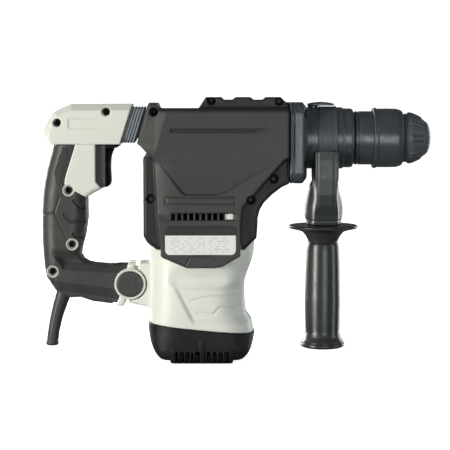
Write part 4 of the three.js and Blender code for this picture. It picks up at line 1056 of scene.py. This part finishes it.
def handle_shell_shape(x, d, z):
    """Half of the rear handle's shell, with the room inside it, its fork and its screw holes."""
    solid = cut(
        handle_body(x, d, z),
        overlap(brick(x, z, (-64, 77), (24, 32), 0.5), d - 10.3),
        overlap(brick(x, z, (-133, 194), (11, 18), 0.5), d - 9.5),
        overlap(brick(x, z, (-96.5, 192.5), (26.5, 22.2), 0.5), d - 12.5),
        overlap(outline_distance(ARM_ROOM, x, z), d - 15),
    )
    away = pivot_distance(x, z)
    ring = slab(away - RING["outer"], d, RING["rim"], 0.7)
    tabs = slab(outline_distance(TABS, x, z), d, 16.5, 1.6)
    fork = overlap(join(ring, tabs, 0.8), 10.3 - d)
    solid = cut(np.minimum(solid, fork), overlap(away - RING["inner"], RING["floor"] - d), away - 4.02)
    for bx, bz in BOSSES:
        from_boss = np.hypot(x - bx, z - bz)
        solid = cut(solid, overlap(from_boss - BOSS["hole"], BOSS["top"] - BOSS["depth"] - 2 - d))
    for sx, sz, top in ARM_SCREWS:
        post = np.hypot(x - sx, z - sz)
        tower = overlap(post - 6, d - top + 6)
        solid = cut(np.minimum(solid, tower), overlap(post - 4.2, top - 8 - d))
    return overlap(cut(solid, strain_hole(x, d, z)), SEAM - d)


def handle_shells():
    mesh = carve(handle_shell_shape, *box("handle_shell_left"), 0.68)
    both_halves("handle_shell", *mesh, "white_plastic", "rear_handle")


def handle_screws():
    places = [(x, z, BOSS["top"] - BOSS["depth"]) for x, z in BOSSES]
    places += [(x, z, top - 6.0) for x, z, top in ARM_SCREWS]
    side_screws("handle_screws", places, "rear_handle")


def overmould_shape(x, d, z):
    """Half of the grip's rubber, with chamfered lower edges, seams, finger lines and a knurled pad."""
    grip = outline_distance(GRIP_EDGE, x, z)
    on_arm = ramp(x, -150, -138) * (1 - ramp(z, 94, 112))
    above = z - 87.8 - 0.05 * (-85.8 - x) - 1.3 * np.maximum(-137 - x, 0)
    below = 72 + 0.13 * (-87.7 - x) - z
    upper = np.minimum(0.8 * np.maximum(above, 0), 6.5) * (1 - ramp(z, 98, 112))
    lower = np.minimum(0.65 * np.maximum(below, 0), 6.5)
    skin = slab(grip, d, GRIP["half"] - upper - lower, GRIP["rim"] - 12.5 * on_arm)
    skin = overlap(skin, z - 214.6)
    seams = sum(groove(path_distance(line, x, z), 1.5) for line in GRIP_SEAMS)
    fingers = sum(groove(path_distance(line, x, z), 2.2) for line in FINGER_LINES)
    skin = skin + 0.7 * seams + 1.0 * fingers
    pad = ramp(-outline_distance(KNURL, x, z), 0, 1.0)
    across = (x * 0.96 + z * 0.28) / KNURL_PITCH
    along = (z * 0.96 - x * 0.28) / KNURL_PITCH
    dots = np.cos(2 * math.pi * across) * np.cos(2 * math.pi * along)
    skin = skin - pad * ramp(d, 4, 8) * (0.8 * dots - 0.4)
    skin = cut(
        skin,
        overlap(grip + 5.7, d - 9.8),
        outline_distance(MID_PANEL, x, z) - 0.3,
        overlap(-104.7 - x, 160 - z),
        pivot_distance(x, z) - RING["outer"] - 0.3,
        outline_distance(PAST_TABS, x, z),
        overlap(brick(x, z, (-64, 77), (25, 32), 0.5), d - 10.3),
        overlap(brick(x, z, (-122.6, 210), (22.7, 10), 0.5), d - 9.8),
        strain_hole(x, d, z),
        *[np.hypot(x - bx, z - bz) - BOSS["ring"] - 0.3 for bx, bz in BOSSES],
    )
    return overlap(skin, SEAM - d)


def overmoulds():
    mesh = carve(overmould_shape, *box("grip_overmould_left"), 0.6)
    both_halves("grip_overmould", *mesh, "soft_rubber", "rear_handle")


def pivot_caps():
    """The round plugs over the ends of the pivot pin."""
    radius = RING["inner"] - 0.4
    profile = [
        (18.1, 0.01), (18.1, radius), (19.6, radius), (20.3, radius - 0.9), (20.5, radius - 3),
        (20.45, 0.01),
    ]
    vertices, faces = spin(divided(rounded(profile, 0.5), 3), 0, (0, 0, 0), 96)
    both_halves("pivot_cap", facing_side(vertices, *PIVOT), faces, "soft_rubber", "rear_handle")


def trigger():
    half_width = box("trigger")[1][1]
    edge = [
        (-109, 214.2), (-80.5, 214.2), (-84.5, 211.6), (-88, 208), (-89.6, 204), (-90, 200), (-90, 178),
        (-91, 175), (-93, 173), (-99, 172.2), (-104.5, 174.2), (-109, 176),
    ]

    def shape(x, y, z):
        body = slab(outline_distance(edge, x, z), abs(y), half_width, 0.8)
        slope = TRIGGER_BEVEL["slope"]
        front = x - TRIGGER_BEVEL["front"] + slope * (abs(y) - TRIGGER_BEVEL["from"])
        front = np.where(z < 211, front / math.hypot(1, slope), -99.0)
        dish = 0.8 * (1 - ramp(np.hypot((z - 192) / 1.6, y), 0, 9)) * ramp(x, -94, -91)
        return meet(body, front, 0.8) + dish

    carved("trigger_skin", "trigger", shape, 0.45, "trigger_plastic", "trigger_lever", "black_plastic")


def strain_relief():
    """The cord's boot, an open tube with a bead round its lower end."""
    swell = {13: -1.2, 13.4: -0.5, 14.2: 0.0, 15.6: 0.1, 17: -0.1, 17.8: -0.6, 18.6: -0.5}
    rings = []
    for z in [*swell, *np.linspace(20, 68, 40), 71, 74]:
        middle, radius = strain_axis(z)
        rings.append((middle, z, radius + swell.get(z, -0.35)))
    walls = rings + [(x, z, r - 2.2) for x, z, r in reversed(rings)]
    sides = 48
    turns = [2 * math.pi * i / sides for i in range(sides)]
    vertices = [(x + r * math.cos(a), r * math.sin(a), z) for x, z, r in walls for a in turns]
    faces = tube_faces(len(walls), sides)
    piece("strain_relief_skin", vertices, faces, "soft_rubber", "rear_handle", "strain_relief")


def rounded_ring(half_width, low, high, radius, sides):
    """Points round an upright rounded rectangle, as (y, z)."""
    middle = (low + high) / 2
    half = (half_width - radius, (high - low) / 2 - radius)
    points = []
    for i in range(sides):
        angle = 2 * math.pi * (i + 0.5) / sides
        c, s = math.cos(angle), math.sin(angle)
        scale = max(abs(c), abs(s))
        points.append((half[0] * c / scale + radius * c, middle + half[1] * s / scale + radius * s))
    return points


BELLOWS = {
    "start": -80.0, "end": -63.9, "ribs": 5, "neck": 0.87, "lean": 0.315, "low": 215.8, "high": 252.4,
}


def bellows():
    """A slanted rubber tube with round ribs, between the handle and the housing."""
    steps, sides = 60, 96
    lean, low, high = BELLOWS["lean"], BELLOWS["low"], BELLOWS["high"]
    rows = []
    for i in range(steps + 1):
        t = i / steps
        rib = 0.5 + 0.5 * math.cos(2 * math.pi * (t * BELLOWS["ribs"] / BELLOWS["neck"] + 0.5))
        swell = -4.8 if t > BELLOWS["neck"] else -1.4 * (1 - rib ** 0.5)
        rows.append((BELLOWS["start"] + t * (BELLOWS["end"] - BELLOWS["start"]), swell))
    walls = rows + [(x, swell - 1.6) for x, swell in reversed(rows)]
    vertices = []
    for x, swell in walls:
        ring = rounded_ring(17.4 + swell, low - swell, high + swell, 6 + swell, sides)
        vertices += [(x + lean * (z - 217), y, z) for y, z in ring]
    faces = tube_faces(len(walls), sides)
    skin = piece("bellows_skin", vertices, faces, "bellows_rubber", None, "bellows", "soft_rubber")
    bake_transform(skin)


# ---- Camera, lights and floor, in metres ----
LENS = 120
CAMERA = {"look_at": (0.023, 0, 0.134), "distance": 1.5, "rise": math.radians(4.7)}
LAMP_TARGET = (0.02, 0, 0.13)
# Each lamp's name, place, size, power in watts and colour.
LAMPS = [
    ("key", (-1.9, -1.35, 0.12), (0.9, 1.2), 74, (1.0, 0.985, 0.94)),
    ("front", (0.5, -2.2, 0.06), (0.9, 0.9), 15, (0.94, 0.98, 1.0)),
    ("right", (2.0, -0.5, 0.15), (0.35, 1.4), 11, (0.90, 0.96, 1.0)),
    ("back_left", (-1.2, 1.9, 0.5), (0.9, 1.2), 34, (1.0, 0.99, 0.96)),
    ("back_right", (1.6, 1.7, 0.2), (0.9, 1.2), 18, (0.94, 0.98, 1.0)),
    ("top", (0.0, -0.2, 1.9), (1.6, 1.2), 0.6, (1.0, 1.0, 1.0)),
]
SKY = 0.13  # strength of the even light from all round
FLOOR = {"flat": 2.4, "bend": 1.2, "wall": 4.0, "glow": 0.88}


def aimed(name, data, place, target):
    """A camera or lamp at a place, turned to its target."""
    made = bpy.data.objects.new(name, data)
    scene.collection.objects.link(made)
    made.location = place
    made.rotation_mode = "QUATERNION"
    made.rotation_quaternion = (Vector(target) - Vector(place)).to_track_quat("-Z", "Y")
    return made


def camera():
    data = bpy.data.cameras.new("camera")
    data.lens = LENS
    data.sensor_width = 36
    data.clip_end = 20
    away = Vector((0, -math.cos(CAMERA["rise"]), math.sin(CAMERA["rise"])))
    place = Vector(CAMERA["look_at"]) + CAMERA["distance"] * away
    scene.camera = aimed("camera", data, place, CAMERA["look_at"])


def lamp(name, place, size, power, colour):
    data = bpy.data.lights.new(name, "AREA")
    data.shape = "RECTANGLE"
    data.size, data.size_y = size
    data.energy = power
    data.color = colour
    aimed(name, data, place, LAMP_TARGET)


def studio():
    for settings in LAMPS:
        lamp(*settings)
    world = bpy.data.worlds.new("studio")
    world.use_nodes = True
    world.node_tree.nodes["Background"].inputs["Color"].default_value = (1, 1, 1, 1)
    world.node_tree.nodes["Background"].inputs["Strength"].default_value = SKY
    scene.world = world


def backdrop():
    """A pale round floor that curves up into a wall on every side."""
    flat, bend = FLOOR["flat"], FLOOR["bend"]
    curve = np.linspace(0.1, math.pi / 2, 12)
    profile = [(0.001, 0), (1.1, 0), (flat, 0)]
    profile += [(flat + bend * math.sin(a), bend - bend * math.cos(a)) for a in curve]
    profile += [(flat + bend, FLOOR["wall"])]
    sides = 96
    turns = [2 * math.pi * i / sides for i in range(sides)]
    vertices = [(r * math.cos(a), r * math.sin(a), z) for r, z in profile for a in turns]
    faces = [face[::-1] for face in tube_faces(len(profile), sides, closed=False)]
    paint = Paint("floor")
    pale = paint.mix(paint.noise(60, 3), rgb("F2F2F0"), rgb("F7F7F5"))
    paint.feed(paint.shader.inputs["Emission Color"], (1, 1, 1, 1))
    floor = meshed("floor", vertices, faces, paint.finish(pale, 0.9, Emission_Strength=FLOOR["glow"]))
    floor.visible_glossy = False
    floor.visible_diffuse = False


BUILDERS = (
    gear_covers, vent_catch, cover_screws, rating_plate, barrel_housing, chuck, sleeve_spring, dust_cap,
    mode_lever, side_handle, side_grip, motor_housing, motor_end_cap, handle_shells, handle_screws,
    overmoulds, pivot_caps, trigger, strain_relief, bellows, camera, studio, backdrop,
)
for build in BUILDERS:
    build()
scene.view_settings.view_transform = "Standard"
